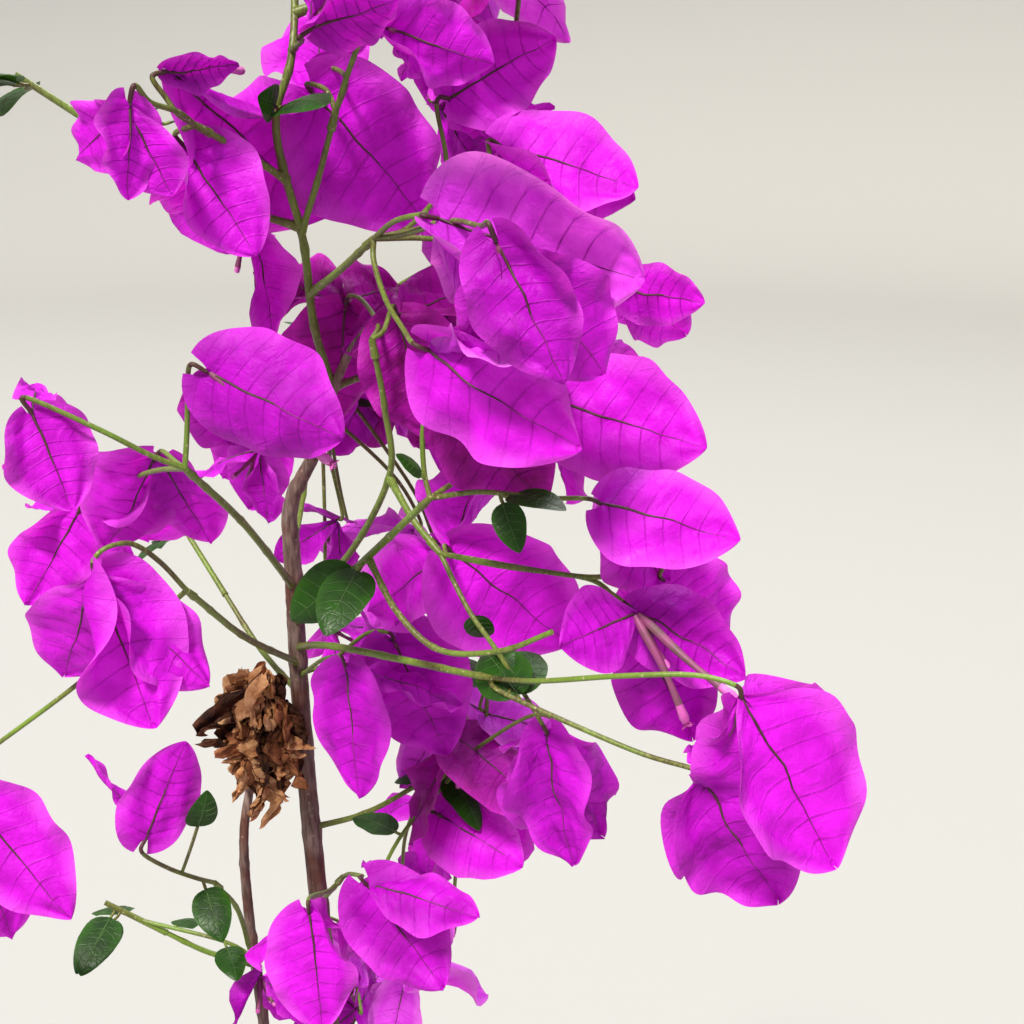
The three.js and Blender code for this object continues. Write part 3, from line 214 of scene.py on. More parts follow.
# What hangs on them. A spray's leading bract hangs from the end of its stalk to its tip, turned about that
# line and wide for its length. lie holds what the picture shows of its folds, more its siblings where they
# show, and tubes the ends of its open flowers. A leaf is its foot, its tip, its turn and, where it isn't the
# usual, its stalk.
SEEN_MASSES = [
    dict(
        name="mass_lower_right", on="bough_lower_right",
        sprays=[
            dict(
                stalk=[[540, 681, -90], [620, 676, -105], [692, 675, -111], [742, 699, -114]],
                tip=[834, 866, -120], turn=-10, wide=0.9, spread=30, tubes=[[717, 766, -108]],
                lie=dict(wings=(-0.1, 0.7), cup=0.12, flick=0.02, heel=(2.6, 1.0), lobe=0.02),
                more=[
                    dict(tip=[748, 820, -98], turn=-12, wide=0.66),
                    dict(tip=[812, 806, -84], turn=150, wide=0.8),
                ],
            ),
            dict(
                stalk=[[498, 690, -78], [560, 719, -88], [640, 753, -98], [704, 780, -104]],
                tip=[778, 897, -106], turn=20, wide=0.92, spread=32, tint="mid",
                lie=dict(wings=(0.4, 0.3), cup=0.1, lobe=0.04),
                more=[
                    dict(tip=[692, 748, -88], turn=60, wide=0.6),
                    dict(tip=[742, 858, -76], turn=150, wide=0.8),
                ],
            ),
        ],
        leaves=[[[524, 701, -81], [482, 646, -60], 10, 0.1], [[508, 694, -79], [540, 652, -62], -10, 0.1]],
    ),
    dict(
        name="mass_riser", on="bough_riser",
        sprays=[
            dict(
                stalk=[[384, 330, -44], [398, 318, -36]], tip=[440, 436, -34], turn=12, wide=0.84, spread=44,
                tint="deep",
            ),
            dict(
                stalk=[[378, 324, -34], [362, 300, -14], [346, 306, -4]], tip=[330, 424, 4], turn=-14,
                wide=0.84, spread=44, tint="deep",
            ),
        ],
    ),
    dict(
        name="mass_right", on="bough_cross",
        sprays=[
            dict(
                stalk=[[500, 566, -66], [585, 578, -76], [612, 594, -80], [636, 612, -84]],
                tip=[746, 672, -90], turn=24, wide=0.8, spread=48, inside=True, tint="mid",
                tubes=[[737, 700, -104], [686, 723, -98]], lie=dict(fold=(0, 1.1), cup=0.1, flick=-0.12),
                more=[
                    dict(
                        tip=[561, 646, -96], turn=-8, wide=1.1, inside=True,
                        lie=dict(heel=(1.5, 1.5), ruffle=0.012, wobble=0.01, crumple=0.003, wings=(0.1, 0.1)),
                    ),
                    dict(tip=[694, 746, -78], turn=8, wide=0.74, inside=True),
                ],
            ),
            dict(
                stalk=[[588, 577, -77], [620, 562, -76], [640, 553, -74], [662, 563, -72], [665, 582, -69]],
                tip=[728, 640, -58], turn=-10, wide=0.9, spread=34,
            ),
            dict(
                stalk=[[468, 609, -64], [495, 648, -70], [518, 684, -74], [548, 736, -78]],
                tip=[577, 862, -80], turn=38, wide=0.62, spread=32, tint="mid", lie=dict(wings=(0.2, 0.5)),
                more=[
                    dict(tip=[602, 836, -64], turn=-20, wide=0.6),
                    dict(tip=[556, 838, -60], turn=150, wide=0.7),
                ],
            ),
            dict(
                stalk=[[446, 556, -40], [452, 552, -30]], tip=[566, 642, -22], turn=-6, wide=0.9, spread=46,
                lie=dict(wings=(0.5, 0.0), cup=0.1),
            ),
        ],
        leaves=[[[470, 612, -64], [489, 640, -58], 20]],
    ),
    dict(
        name="mass_middle_right", on="bough_middle_right",
        sprays=[
            dict(
                stalk=[[480, 492, -80], [545, 498, -84], [603, 505, -86]], tip=[740, 541, -92], turn=-24,
                wide=0.82, spread=36, lie=dict(wings=(0.1, 0.1), cup=0.14),
                more=[
                    dict(tip=[690, 500, -70], turn=-30, wide=0.7),
                    dict(tip=[676, 584, -72], turn=160, wide=0.8),
                ],
            ),
            dict(
                stalk=[[424, 470, -72], [423, 428, -72], [433, 400, -74], [446, 396, -77], [456, 404, -79]],
                tip=[546, 500, -76], turn=34, wide=0.9, spread=34, tint="deep",
            ),
            dict(
                stalk=[[470, 470, -66], [520, 420, -58], [557, 402, -58]], tip=[705, 450, -64], turn=-8,
                wide=0.86, spread=38,
            ),
        ],
        leaves=[
            [[500, 492, -81], [566, 506, -92], -66], [[500, 494, -81], [520, 553, -88], 12],
            [[437, 476, -72], [396, 454, -76], 50],
        ],
    ),
    dict(
        name="mass_leaf_pair", on="bough_middle_right", at=[352, 572, -44], toward=[350, 563, -52],
        leaves=[[[350, 563, -52], [325, 634, -72], 16], [[350, 563, -52], [290, 622, -50], 0]],
    ),
    dict(
        name="mass_upper_right", on="bough_upper_right",
        sprays=[
            dict(
                stalk=[[395, 221, -66], [425, 214, -78], [440, 219, -86]], tip=[646, 276, -92], turn=10,
                wide=0.92, spread=44, tint="pale",
                lie=dict(wings=(0.75, 0.25), cup=0.16, flick=0.14, ruffle=0.06, waves=2.2),
                more=[
                    dict(tip=[560, 330, -58], turn=160, wide=0.8),
                    dict(tip=[506, 312, -66], turn=-150, wide=0.7),
                ],
            ),
            dict(
                stalk=[[405, 234, -64], [450, 221, -86], [480, 226, -100], [496, 242, -108]],
                tip=[564, 384, -114], turn=-8, wide=0.72, spread=30, tint="mid",
                lie=dict(fold=(1.3, 0), wings=(0.2, -0.3), cup=0.2, flick=0.02),
                more=[
                    dict(tip=[604, 374, -100], turn=-14, wide=0.84),
                    dict(tip=[536, 372, -84], turn=150, wide=0.8),
                ],
            ),
            dict(
                stalk=[[374, 262, -56], [386, 300, -66], [404, 330, -80], [430, 351, -92]],
                tip=[582, 450, -108], turn=30, wide=0.78, spread=34, lie=dict(wings=(0.1, 0.3), cup=0.15),
                more=[
                    dict(tip=[540, 364, -110], turn=-62, wide=0.62, tint="pale"),
                    dict(tip=[520, 322, -92], turn=56, wide=0.62, inside=True),
                ],
            ),
            dict(
                stalk=[[410, 226, -46], [446, 176, -32], [450, 98, -26]], tip=[556, 38, -22], turn=-10,
                wide=0.84, spread=42,
            ),
            dict(
                stalk=[[440, 220, -46], [486, 168, -38], [503, 148, -36]], tip=[637, 192, -40], turn=-26,
                wide=0.84, spread=38, lie=dict(fold=(0, 1.9)),
            ),
            dict(
                stalk=[[440, 240, -50], [540, 262, -44], [608, 278, -40], [622, 290, -38]],
                tip=[704, 300, -38], turn=16, wide=0.84, spread=40,
                more=[
                    dict(tip=[682, 328, -22], turn=20, wide=0.8),
                    dict(tip=[650, 316, -20], turn=160, wide=0.7),
                ],
            ),
        ],
    ),
    dict(
        name="mass_left", on="bough_left",
        sprays=[
            dict(
                stalk=[[150, 455, -72], [100, 430, -77], [52, 407, -80], [36, 402, -80], [32, 414, -80]],
                tip=[73, 511, -84], turn=-8, wide=0.96, spread=34, lie=dict(wings=(0.05, 0.05), cup=0.25),
                more=[
                    dict(tip=[34, 388, -56], turn=10, wide=0.4), dict(tip=[62, 470, -50], turn=160, wide=0.7),
                ],
            ),
            dict(
                stalk=[[187, 430, -68], [188, 392, -70], [196, 374, -73], [207, 372, -76]],
                tip=[346, 438, -86], turn=10, wide=0.86, spread=38, tint="mid", tubes=[[331, 463, -84]],
                lie=dict(wings=(-0.3, -0.5), cup=0.1, ruffle=0.05, waves=2.3, flick=0.05),
                more=[
                    dict(tip=[296, 424, -52], turn=20, wide=0.7),
                    dict(tip=[232, 446, -50], turn=-160, wide=0.7),
                ],
            ),
            dict(
                stalk=[[150, 472, -44], [100, 492, -16], [78, 514, -14]], tip=[28, 604, -22], turn=10,
                wide=0.88, spread=40,
            ),
            dict(
                stalk=[[176, 462, -54], [156, 456, -38]], tip=[106, 540, -26], turn=-30, wide=0.84, spread=42,
                lie=dict(wings=(0.5, -0.2)),
                more=[
                    dict(tip=[212, 532, -20], turn=30, wide=0.8), dict(tip=[150, 530, -8], turn=0, wide=0.8),
                ],
            ),
        ],
    ),
    dict(
        name="mass_lower_left", on="bough_lower_left",
        sprays=[
            dict(
                stalk=[[160, 562, -72], [132, 544, -78], [106, 548, -82], [97, 578, -83]],
                tip=[150, 727, -92], turn=-12, wide=0.88, spread=36, lie=dict(fold=(0, 2.5), cup=0.1),
                more=[
                    dict(tip=[203, 687, -82], turn=-14, wide=0.74),
                    dict(tip=[64, 676, -66], turn=10, wide=0.8),
                ],
            ),
            dict(
                stalk=[[130, 640, -58], [70, 690, -62], [0, 742, -66], [-46, 776, -68], [-34, 798, -70]],
                tip=[74, 912, -74], turn=20, wide=0.64, spread=38,
                more=[
                    dict(tip=[8, 928, -56], turn=0, wide=0.8), dict(tip=[-70, 900, -48], turn=-20, wide=0.8),
                ],
            ),
        ],
    ),
    dict(
        name="mass_upper_left", on="bough_upper_left",
        sprays=[
            dict(
                stalk=[[178, 114, -66], [166, 98, -66], [162, 82, -66], [168, 71, -64]], tip=[238, 62, -56],
                turn=50, wide=0.7, spread=30, tint="mid",
                more=[dict(tip=[312, 206, -14], turn=-6, wide=0.84, tint="bright")],
            ),
            dict(
                stalk=[[178, 112, -68], [150, 102, -74], [129, 104, -80]], tip=[122, 200, -84], turn=-36,
                wide=0.8, spread=44, lie=dict(ruffle=0.06, waves=2.4),
                more=[
                    dict(tip=[174, 194, -78], turn=16, wide=1.05),
                    dict(tip=[84, 160, -66], turn=40, wide=0.8),
                ],
            ),
            dict(
                stalk=[[190, 136, -56], [186, 148, -54]], tip=[258, 256, -58], turn=8, wide=0.9, spread=60,
                lie=dict(wings=(0.05, 0.85), cup=0.1),
                more=[
                    dict(tip=[262, 176, -20], turn=0, wide=0.76),
                    dict(tip=[204, 214, -24], turn=20, wide=0.76),
                ],
            ),
        ],
    ),
    dict(
        name="mass_top", on="bough_top",
        sprays=[
            dict(
                stalk=[[352, 62, -50], [366, 38, -51], [385, 28, -50]], tip=[494, 62, -46], turn=16,
                wide=0.84, spread=34,
            ),
            dict(
                stalk=[[326, 90, -40], [314, 96, -34]], tip=[424, 224, -20], turn=-20, wide=0.9, spread=50,
                lie=dict(wings=(0.4, -0.15), ruffle=0.05, waves=2.6),
            ),
            dict(
                stalk=[[346, 80, -42], [332, 68, -30], [318, 74, -22]], tip=[404, 124, -8], turn=20,
                wide=0.84, spread=40, tint="mid",
            ),
        ],
    ),
    dict(
        name="mass_leader_side", on="leader", at=[293, 50, -40],
        sprays=[
            dict(
                stalk=[[302, 40, -50], [313, 28, -56]], tip=[398, -6, -62], turn=36, wide=0.86, spread=40,
                tint="mid",
            ),
        ],
        leaves=[[[278, 112, -52], [262, 98, -58], 20], [[280, 112, -52], [326, 104, -62], -74]],
    ),
    dict(
        name="mass_front", on="trunk", at=[300, 676, 0],
        sprays=[
            dict(
                stalk=[[322, 660, -18], [338, 656, -28], [346, 668, -34]], tip=[367, 795, -44], turn=44,
                wide=0.8, spread=32, tint="mid",
            ),
            dict(
                stalk=[[330, 662, -10], [366, 634, -14], [394, 642, -18]], tip=[446, 748, -18], turn=8,
                wide=0.9, spread=38, tint="mid",
            ),
        ],
    ),
    dict(
        name="mass_foot_left", on="bough_foot_left",
        sprays=[
            dict(
                stalk=[[196, 878, -42], [168, 868, -52], [146, 838, -58]], tip=[184, 738, -50], turn=20,
                wide=0.76, spread=34,
            ),
        ],
        leaves=[[[216, 884, -42], [222, 940, -56], 6], [[205, 868, -48], [208, 796, -56], 8, 0.62]],
    ),
    dict(
        name="mass_foot_right", on="bough_foot_right",
        sprays=[
            dict(
                stalk=[[350, 874, -44], [362, 876, -52], [368, 886, -58]], tip=[444, 986, -68], turn=12,
                wide=0.8, spread=44, tint="mid",
                more=[
                    dict(tip=[480, 918, -72], turn=-30, wide=0.6),
                    dict(tip=[376, 962, -48], turn=150, wide=0.8),
                ],
            ),
            dict(
                stalk=[[330, 890, -44], [312, 896, -60], [309, 914, -68]], tip=[322, 1030, -78], turn=-8,
                wide=0.8, spread=32,
            ),
        ],
    ),
]

# The boughs that the picture doesn't show, in a spiral up the stems, and how their masses grow.
SPIRAL = Sizes(
    count=13, start_height=436, end_height=1036, start=250, turn=137.5, climb=26, sag=0.35, reach=0.44,
    foot=1.3, tip=0.95, front=270, front_half=88, front_from=620, front_to=1010,
    side_stem_to=700, side_stem_half=60, leader_from=885,
)
GROWTH = Sizes(
    seed=(31, 7), sprays=1, sprays_per_radius=0.045, round=46, tall=56, lift=14, swing=50, scatter=12,
    outer=1, inner=0.7, hang=0.8, least=10, stem=0.3, hook=9, hook_at=0.25,
    bract=38, bract_wide=0.82, droop=38, sway=50, roll=120, spread=42,
    leaves=3, leaf_size=24, leaf_from=0.3, leaf_round=200, leaf_rise=0.2, leaf_fall=0.8, leaf_roll=40,
)
CROWN_TOP = dict(number=14, angle=0, height=1094, round=180, tall=44, sprays=4)
CLUMP = Sizes(
    seed=7, middle=[270, 744, -9], half=(10, 7, 19), blades=11, strips=8, start=95, sweep=250,
    length=(20.8, 31.2), torn=(0.4, 0.6), wide=0.85, narrow=(0.3, 0.7), sink=5, lift=5, layers=(0.75, 1),
    fall=(2.4, 1.2), roll=90, midrib_end=0.9, midrib=(0.35, 0.1), left_to=0.2,
    left_shades=("tan", "brown", "tan", "tan", "dark"),
    right_shades=("brown", "dark", "brown", "tan", "dark"),
)

# How finely each thing is drawn: rows along it and columns across it, points along a line, or sides round it.
# The sprays that the picture shows are drawn near, and the others far.
NEAR = Sizes(
    bract=(44, 22), stalk=12, stalk_sides=8, neck=12, midrib=16, vein=11, vein_pairs=6, flower=9,
    flower_sides=10,
)
FAR = Sizes(
    bract=(14, 10), stalk=6, stalk_sides=6, neck=3, midrib=7, vein=5, vein_pairs=4, flower=4, flower_sides=6,
)
FINE = Sizes(
    leaf=(14, 10), leaf_midrib=9, leaf_vein=6, flower_lobe=(6, 4), withered=(16, 14), withered_midrib=10,
    pot_sides=180, mix_sides=220, mix_rings=66,
)

# The lie of a thin blade, each as a range that chance picks from. bow, flick and cup are the solids' arch
# along it, the turn of its tip and its curve across. lobe is how far its base reaches back beside the stalk,
# wing how far each half folds about the midrib, ruffle and waves the ripple of its edge, sway a slow wave of
# the whole.
BRACT = dict(
    bow=(0.02, 0.07), flick=(0.0, 0.12), cup=(0.0, 0.3), lobe=(0.1, 0.17), wing=(-0.12, 0.35),
    ruffle=(0.026, 0.07), waves=(1.6, 3.4), sway=(0.01, 0.03), wobble=(0.014, 0.042), pleat=0.0085,
    crumple=0.009, folds=(21, 12), creased=0.3,
)
LEAF = dict(
    bow=(0.02, 0.1), flick=(-0.15, 0.0), cup=(0.1, 0.35), lobe=(0.0, 0.03), wing=(0.0, 0.25),
    ruffle=(0.004, 0.012), waves=(1.5, 2.5), sway=(0.0, 0.008), wobble=(0.0, 0.015), pleat=0.004, crumple=0,
    folds=(9, 5), creased=0.0,
)
WITHERED = dict(
    bow=(0.0, 0.4), flick=(-1.1, 0.7), cup=(0.5, 1.8), lobe=(0.02, 0.1), wing=(-0.8, 1.7), ruffle=(0.06, 0.2),
    waves=(2, 4.5), sway=(0.04, 0.14), wobble=(0.04, 0.14), pleat=0.008, crumple=0.08, folds=(13, 8),
    creased=0.8,
)

# What every blade has: how far its own surface runs, where along it it opens out and its crease ends, the
# slow and quick waves of its outline, its slow wave as a whole, and how its crumples die away and draw it in.
BEND = Sizes(
    sheet=(0.03, 0.985), opened=0.3, folded=0.5, fold=(0.7, 2.3), wobble=(8, 19, 0.6), sway=(0.8, 0.5),
    heel_least=0.015, heel_lift=0.3, crumples=6, crumple_ends=(6, 7), crumple_fade=0.3, crumple_across=0.6,
)
CREASE = 0.4  # how far out towards its edge a blade is creased, where it is

# Side veins leave the midrib in pairs between two shares of its length, and lean towards the tip by rise, the
# last ones less. MIDRIB and VEIN are radii at the root and the end.
VEINS = Sizes(
    pairs=6, first=0.04, last=0.7, scatter=(-0.001, 0.001), rise=0.17, curve=1.25, lean=(1.1, 0.75),
    reach=0.92, fork_steps=6, fork_reach=0.8, fork_rise=(0.07, 0.05), fork_end=1.2, midrib_end=0.95,
    least_height=0.07,
)
MIDRIB = (0.4, 0.08)
VEIN = (0.12, 0.04)

# A flower tube stands off its bract. Its profile is shares of its length and the radii there, its mouth
# starts at a share too, and a bud is a share of its bract's length.
FLOWER = Sizes(
    foot=0.8, bud=(0.3, 0.42), off=0.4, bow=0.05, full=1.2, mouth=0.84, rib=0.1, lobes=5, lobe=(2.2, 0.8),
    lobe_lean=0.7, lobe_turn=0.5,
    profile=([0, 0.12, 0.32, 0.6, 0.86, 0.97, 1], [0.5, 0.95, 0.9, 0.6, 0.8, 1.05, 0.7]),
)

# A grown bract or leaf is kept where its solid lies within that distance of it, at a share of its length,
# and where the picture shows no gap at any of its spots.
HELD = Sizes(within=1.6, bract_at=0.55, leaf_at=0.6, spots=(0, 0.6, 1))

# What a grown mass has beyond its solid's sprays, and how clear of the sprays in front that stays. Ranges are
# what chance picks from.
EXTRA = Sizes(
    seed=500, sprays=6, first=0.7, twist=1.3, scatter=(-8, 8), round=1.15, swing=(-10, 10), bract=(25, 34),
    reach=(0.45, 0.95), least=6, fall=(-35, 25), sway=(-40, 40), hook=(5, 11), roll=(-70, 70),
    wide=(0.74, 0.9), spread=(30, 46), clear=5, spots=(0.1, 0.5, 0.95), leaves=5, leaf=(13, 22),
    leaf_at=(0.1, 0.7), leaf_rise=(-0.6, 0.5), leaf_tilt=0.1, leaf_clear=4,
)

# Places and lines


def seen(place):
    """The place on the plant that a sight place means."""
    column, row, y = place
    down = math.radians(SIGHT.down)
    across = (column - SIGHT.side / 2) / SIGHT.focal
    below = (row - SIGHT.side / 2) / SIGHT.focal
    reach = (y + SIGHT.front) / (math.cos(down) - below * math.sin(down))
    drop = reach * (math.sin(down) + below * math.cos(down))
    return np.array([SIGHT.right + reach * across, y, SIGHT.height - drop])


def in_reach(place):
    """Whether a place is within the crown as the picture shows it, or outside the picture."""
    down = math.radians(SIGHT.down)
    right, deep, up = place[0] - SIGHT.right, place[1] + SIGHT.front, place[2] - SIGHT.height
    far = deep * math.cos(down) - up * math.sin(down)
    low = -deep * math.sin(down) - up * math.cos(down)
    column, row = (SIGHT.side / 2 + SIGHT.focal * value / far for value in (right, low))
    if not (0 < row < SIGHT.side and -REACH_MARGIN < column < SIGHT.side):
        return True
    if any(math.hypot(column - middle, row - level) < radius for middle, level, radius in GAPS):
        return False
    rows, left, right = np.array(REACH, float).T
    return np.interp(row, rows, left) < column < np.interp(row, rows, right)


def all_in_reach(places):
    return all(in_reach(place) for place in places)


def stream(seed):
    """A repeatable stream of numbers from 0 to 1, the same as the solids have."""
    state = seed * 7919 + 17

    def draw():
        nonlocal state
        state = (state * 48271) % 2147483647
        return state / 2147483647

    return draw


def unit(vector):
    return vector / np.linalg.norm(vector)


def units(vectors):
    """Each of an array of vectors, brought to length 1."""
    return vectors / np.maximum(np.linalg.norm(vectors, axis=-1), 1e-9)[..., None]


def turned(vector, axis, degrees):
    """A vector turned about an axis of length 1."""
    a = math.radians(degrees)
    return (vector * math.cos(a) + np.cross(axis, vector) * math.sin(a)
        + axis * np.dot(axis, vector) * (1 - math.cos(a)))


def outwards(degrees):
    return np.array([math.cos(math.radians(degrees)), math.sin(math.radians(degrees)), 0.0])


def smooth(places, steps):
    """A smooth line through some places, with that many points for each span."""
    dots = np.array(places, float)
    dots = np.vstack([2 * dots[0] - dots[1], dots, 2 * dots[-1] - dots[-2]])
    t = (np.arange(steps) / steps)[:, None]
    spans = []
    for a, b, c, d in zip(dots, dots[1:], dots[2:], dots[3:]):
        leave, arrive = (c - a) / 2, (d - b) / 2
        bend, twist = 3 * (c - b) - 2 * leave - arrive, 2 * (b - c) + leave + arrive
        spans.append(b + leave * t + bend * t**2 + twist * t**3)
    return np.vstack([*spans, dots[-2:-1]])


def run_along(points):
    """How far along a line each of its points is."""
    return np.concatenate([[0], np.cumsum(np.linalg.norm(np.diff(points, axis=0), axis=1))])


def taper(ends, count, flare=1):
    """Radii along a limb: an even taper, with the foot of a stem flared into the soil."""
    radii = np.linspace(*ends, count)
    for i, share in enumerate(SWELL[:count]):
        radii[i] *= 1 + (flare - 1) * share
    return radii


def nearest_on(lines, place):
    """The nearest place on any of some lines of points."""
    spots = []
    for line in lines:
        for a, b in zip(line, line[1:]):
            span = b - a
            share = np.clip(np.dot(place - a, span) / max(np.dot(span, span), 1e-9), 0, 1)
            spots.append(a + span * share)
    return min(spots, key=lambda spot: np.linalg.norm(spot - place))


def rolled(base, tip, look, turn, inside=False):
    """The way a blade's outer face looks when it faces look, rolled about the blade by turn."""
    along = unit(tip - base)
    face = unit(look - along * np.dot(look, along))
    face = turned(face, along, turn)
    return -face if inside else face


def facing(base, tip, turn, inside=False):
    eye = np.array([SIGHT.right, -SIGHT.front, SIGHT.height], float)
    return rolled(base, tip, eye - base, turn, inside)


# Piles of faces: each finish has one, and they become joined meshes at the end

PIECE_LIMIT = 190_000  # triangles in one joined mesh
piles = {}


def pile(finish, places, faces, blade=None):
    """Adds places, the faces between them, and where on a blade each place is, to a finish's pile."""
    piles.setdefault(finish, []).append((places.reshape(-1, 3), faces, blade))


def grid_faces(rows, columns, around=False):
    """The four-sided faces of a grid of places, which may close on itself across."""
    r, c = np.meshgrid(np.arange(rows - 1), np.arange(columns if around else columns - 1), indexing="ij")
    r, c = r.ravel(), c.ravel()
    after = (c + 1) % columns
    low, high = r * columns, (r + 1) * columns
    return np.stack([low + c, low + after, high + after, high + c], 1)


def tube(finish, points, radii, sides, relief=None):
    """A round limb along a line of points, closed at both ends. relief is a share of each ring's radius."""
    headings = units(np.gradient(points, axis=0))
    side = np.cross(headings[0], UP if abs(headings[0][2]) < 0.9 else np.array([0.0, 1.0, 0.0]))
    sideways = []
    for heading in headings:
        side = unit(side - heading * np.dot(side, heading))
        sideways.append(side)
    sideways = np.array(sideways)
    others = np.cross(headings, sideways)
    angles = np.arange(sides) / sides * FULL_TURN
    reach = np.asarray(radii, float)[:, None] * np.ones(sides)
    if relief is not None:
        reach = reach * relief(angles[None, :], run_along(points)[:, None])
    cos, sin = np.cos(angles)[None, :, None], np.sin(angles)[None, :, None]
    places = points[:, None, :] + (sideways[:, None, :] * cos + others[:, None, :] * sin) * reach[:, :, None]
    pile(finish, places, grid_faces(len(points), sides, around=True))
    for end, first, step in ((points[0], places[0], -1), (points[-1], places[-1], 1)):
        fan = np.array([[k, (k + 1) % sides, sides][::step] for k in range(sides)])
        pile(finish, np.vstack([first, end]), fan)


def relief_of(seed, depth, counts, length):
    """Bark relief: ridges that run along a limb and wander round it, broken up over about that length. counts
    says how many go round it in each wave."""
    chance = random.Random(seed)
    waves = []
    for count in counts:
        phase, rate = chance.uniform(0, FULL_TURN), chance.uniform(*RIDGE.rate) / length
        waves.append((count, phase, rate, chance.uniform(0, FULL_TURN)))

    def relief(angle, run):
        total = 0
        for count, phase, rate, start in waves:
            wander = RIDGE.wander * np.sin(run * rate * FULL_TURN * RIDGE.slower + start)
            total = total + np.sin(count * angle + phase + wander) * np.sin(run * rate * FULL_TURN + start)
        return 1 + depth * total / len(waves)

    return relief


# Thin blades: bracts, leaves and withered leaves


def half_width(t):
    """Half the width of a blade of width 1 at a share t of its length."""
    base, point = OUTLINE.base, OUTLINE.point
    widest = base / (base + point)
    return 0.5 * t**base * (1 - t) ** point / (widest**base * (1 - widest) ** point)


def vein_rise(t, edge):
    """How far, in blade lengths, a side vein has risen to the tip at a share of its way to the edge."""
    steep, less = VEINS.lean
    return VEINS.rise * edge**VEINS.curve * (steep - less * t)


class Blade:
    """A thin curved blade. t runs along it, 0 at its base and 1 at its tip, and s across it, -1 to 1."""

    def __init__(self, base, along, out, length, width, habit, chance, heel=None):
        self.base, self.along, self.out, self.length, self.width = base, along, out, length, width
        self.side = np.cross(along, out)
        self.heel = heel
        for name in ("bow", "flick", "cup", "lobe", "ruffle", "waves", "sway", "wobble"):
            setattr(self, name, chance.uniform(*habit[name]))
        self.wings = (chance.uniform(*habit["wing"]), chance.uniform(*habit["wing"]))
        self.fold = [0.0, 0.0]
        if chance.random() < habit["creased"]:
            self.fold[chance.randrange(2)] = chance.uniform(*BEND.fold)
        self.pleat, self.crumple = habit["pleat"], habit["crumple"]
        self.phases = [chance.uniform(0, FULL_TURN) for _ in range(6)]
        most_along, most_across = habit["folds"]
        self.folds = []
        for _ in range(BEND.crumples):
            rates = chance.uniform(-most_along, most_along), chance.uniform(-most_across, most_across)
            self.folds.append((*rates, chance.uniform(0, FULL_TURN)))

    def half(self, t, s):
        """The blade's half width at t on the side that s is on."""
        half = self.width * self.length * half_width(t)
        if self.heel:
            most = self.length * (np.where(s < 0, *self.heel) * t + BEND.heel_least)
            half = half * most / (half**4 + most**4) ** 0.25
        slow, quick = np.where(s < 0, *self.phases[:2]), np.where(s < 0, *self.phases[4:])
        slow_rate, quick_rate, quick_share = BEND.wobble
        waves = np.sin(slow_rate * t + slow) + quick_share * np.sin(quick_rate * t + quick)
        return half * (1 + self.wobble * waves)

    def place(self, t, s):
        """The place on the blade at t and s: how far along it, to its side and out from its chord."""
        half = self.half(t, s)
        edge = np.abs(s)
        wing = np.where(s < 0, *self.wings) * edge * np.sin(math.pi * np.clip(t, 0, 1)) ** 0.5
        fold = np.where(s < 0, *self.fold) * np.exp(-((t / BEND.folded) ** 4))
        band = np.maximum(edge - CREASE, 0)
        across = np.sign(s) * half * (edge * np.cos(wing) - band * (1 - np.cos(fold)))
        lift = half * (edge * np.sin(wing) + band * np.sin(fold))
        lift -= self.cup * half * edge**2 * np.clip(t / BEND.opened, 0, 1)
        if self.heel:
            lift += BEND.heel_lift * half * edge**2 * (1 - t) ** 3
        lift += self.length * (self.bow * 4 * t * (1 - t) + self.flick * t**3)
        ripple = np.sin(self.waves * FULL_TURN * t + np.where(s < 0, self.phases[0], self.phases[1]))
        lift += self.length * self.ruffle * edge**3 * ripple * (1 - (2 * t - 1) ** 4)
        along_rate, across_rate = BEND.sway
        swing = FULL_TURN * (along_rate * t + across_rate * s)
        lift += self.length * self.sway * np.sin(swing + self.phases[2])
        vein = t - vein_rise(t, edge) - VEINS.first
        vein = vein * (VEINS.pairs - 1) / (VEINS.last - VEINS.first)
        pleats = self.length * self.pleat * np.cos(FULL_TURN * vein) * np.sqrt(edge)
        lift -= pleats * (1 - edge**4) * (1 - t**4)
        start, end = BEND.crumple_ends
        for i, (a, b, c) in enumerate(self.folds if self.crumple else ()):
            wave = self.length * self.crumple * np.sin(a * t + b * s + c) / (1 + BEND.crumple_fade * i)
            wave = wave * np.clip(start * t, 0, 1) * np.clip(end * (1 - t), 0, 1)
            lift += wave
            across += wave * BEND.crumple_across * np.cos(b * t + a * s)
        run = t * self.length - self.lobe * self.length * edge**2 * (1 - t) ** 6
        run, across, lift = (values[..., None] for values in (run, across, lift))
        return self.base + self.along * run + self.side * across + self.out * lift

    def normal(self, t, s):
        """The way the blade's outer face looks at t and s."""
        step = 0.002
        ahead = self.place(np.minimum(t + step, 1), s) - self.place(np.maximum(t - step, 0), s)
        beside = self.place(t, s + step) - self.place(t, s - step)
        return units(np.cross(beside, ahead))


def blade_sheet(finish, blade, fineness):
    """The blade's own surface, with closer rows towards its ends."""
    rows, columns = fineness
    along = 0.5 - 0.5 * np.cos(math.pi * np.linspace(*BEND.sheet, rows + 1))
    t, s = np.meshgrid(along, np.linspace(-1, 1, columns + 1), indexing="ij")
    where = np.stack([t.ravel(), np.abs(s).ravel()], 1)
    pile(finish, blade.place(t, s), grid_faces(rows + 1, columns + 1), where)


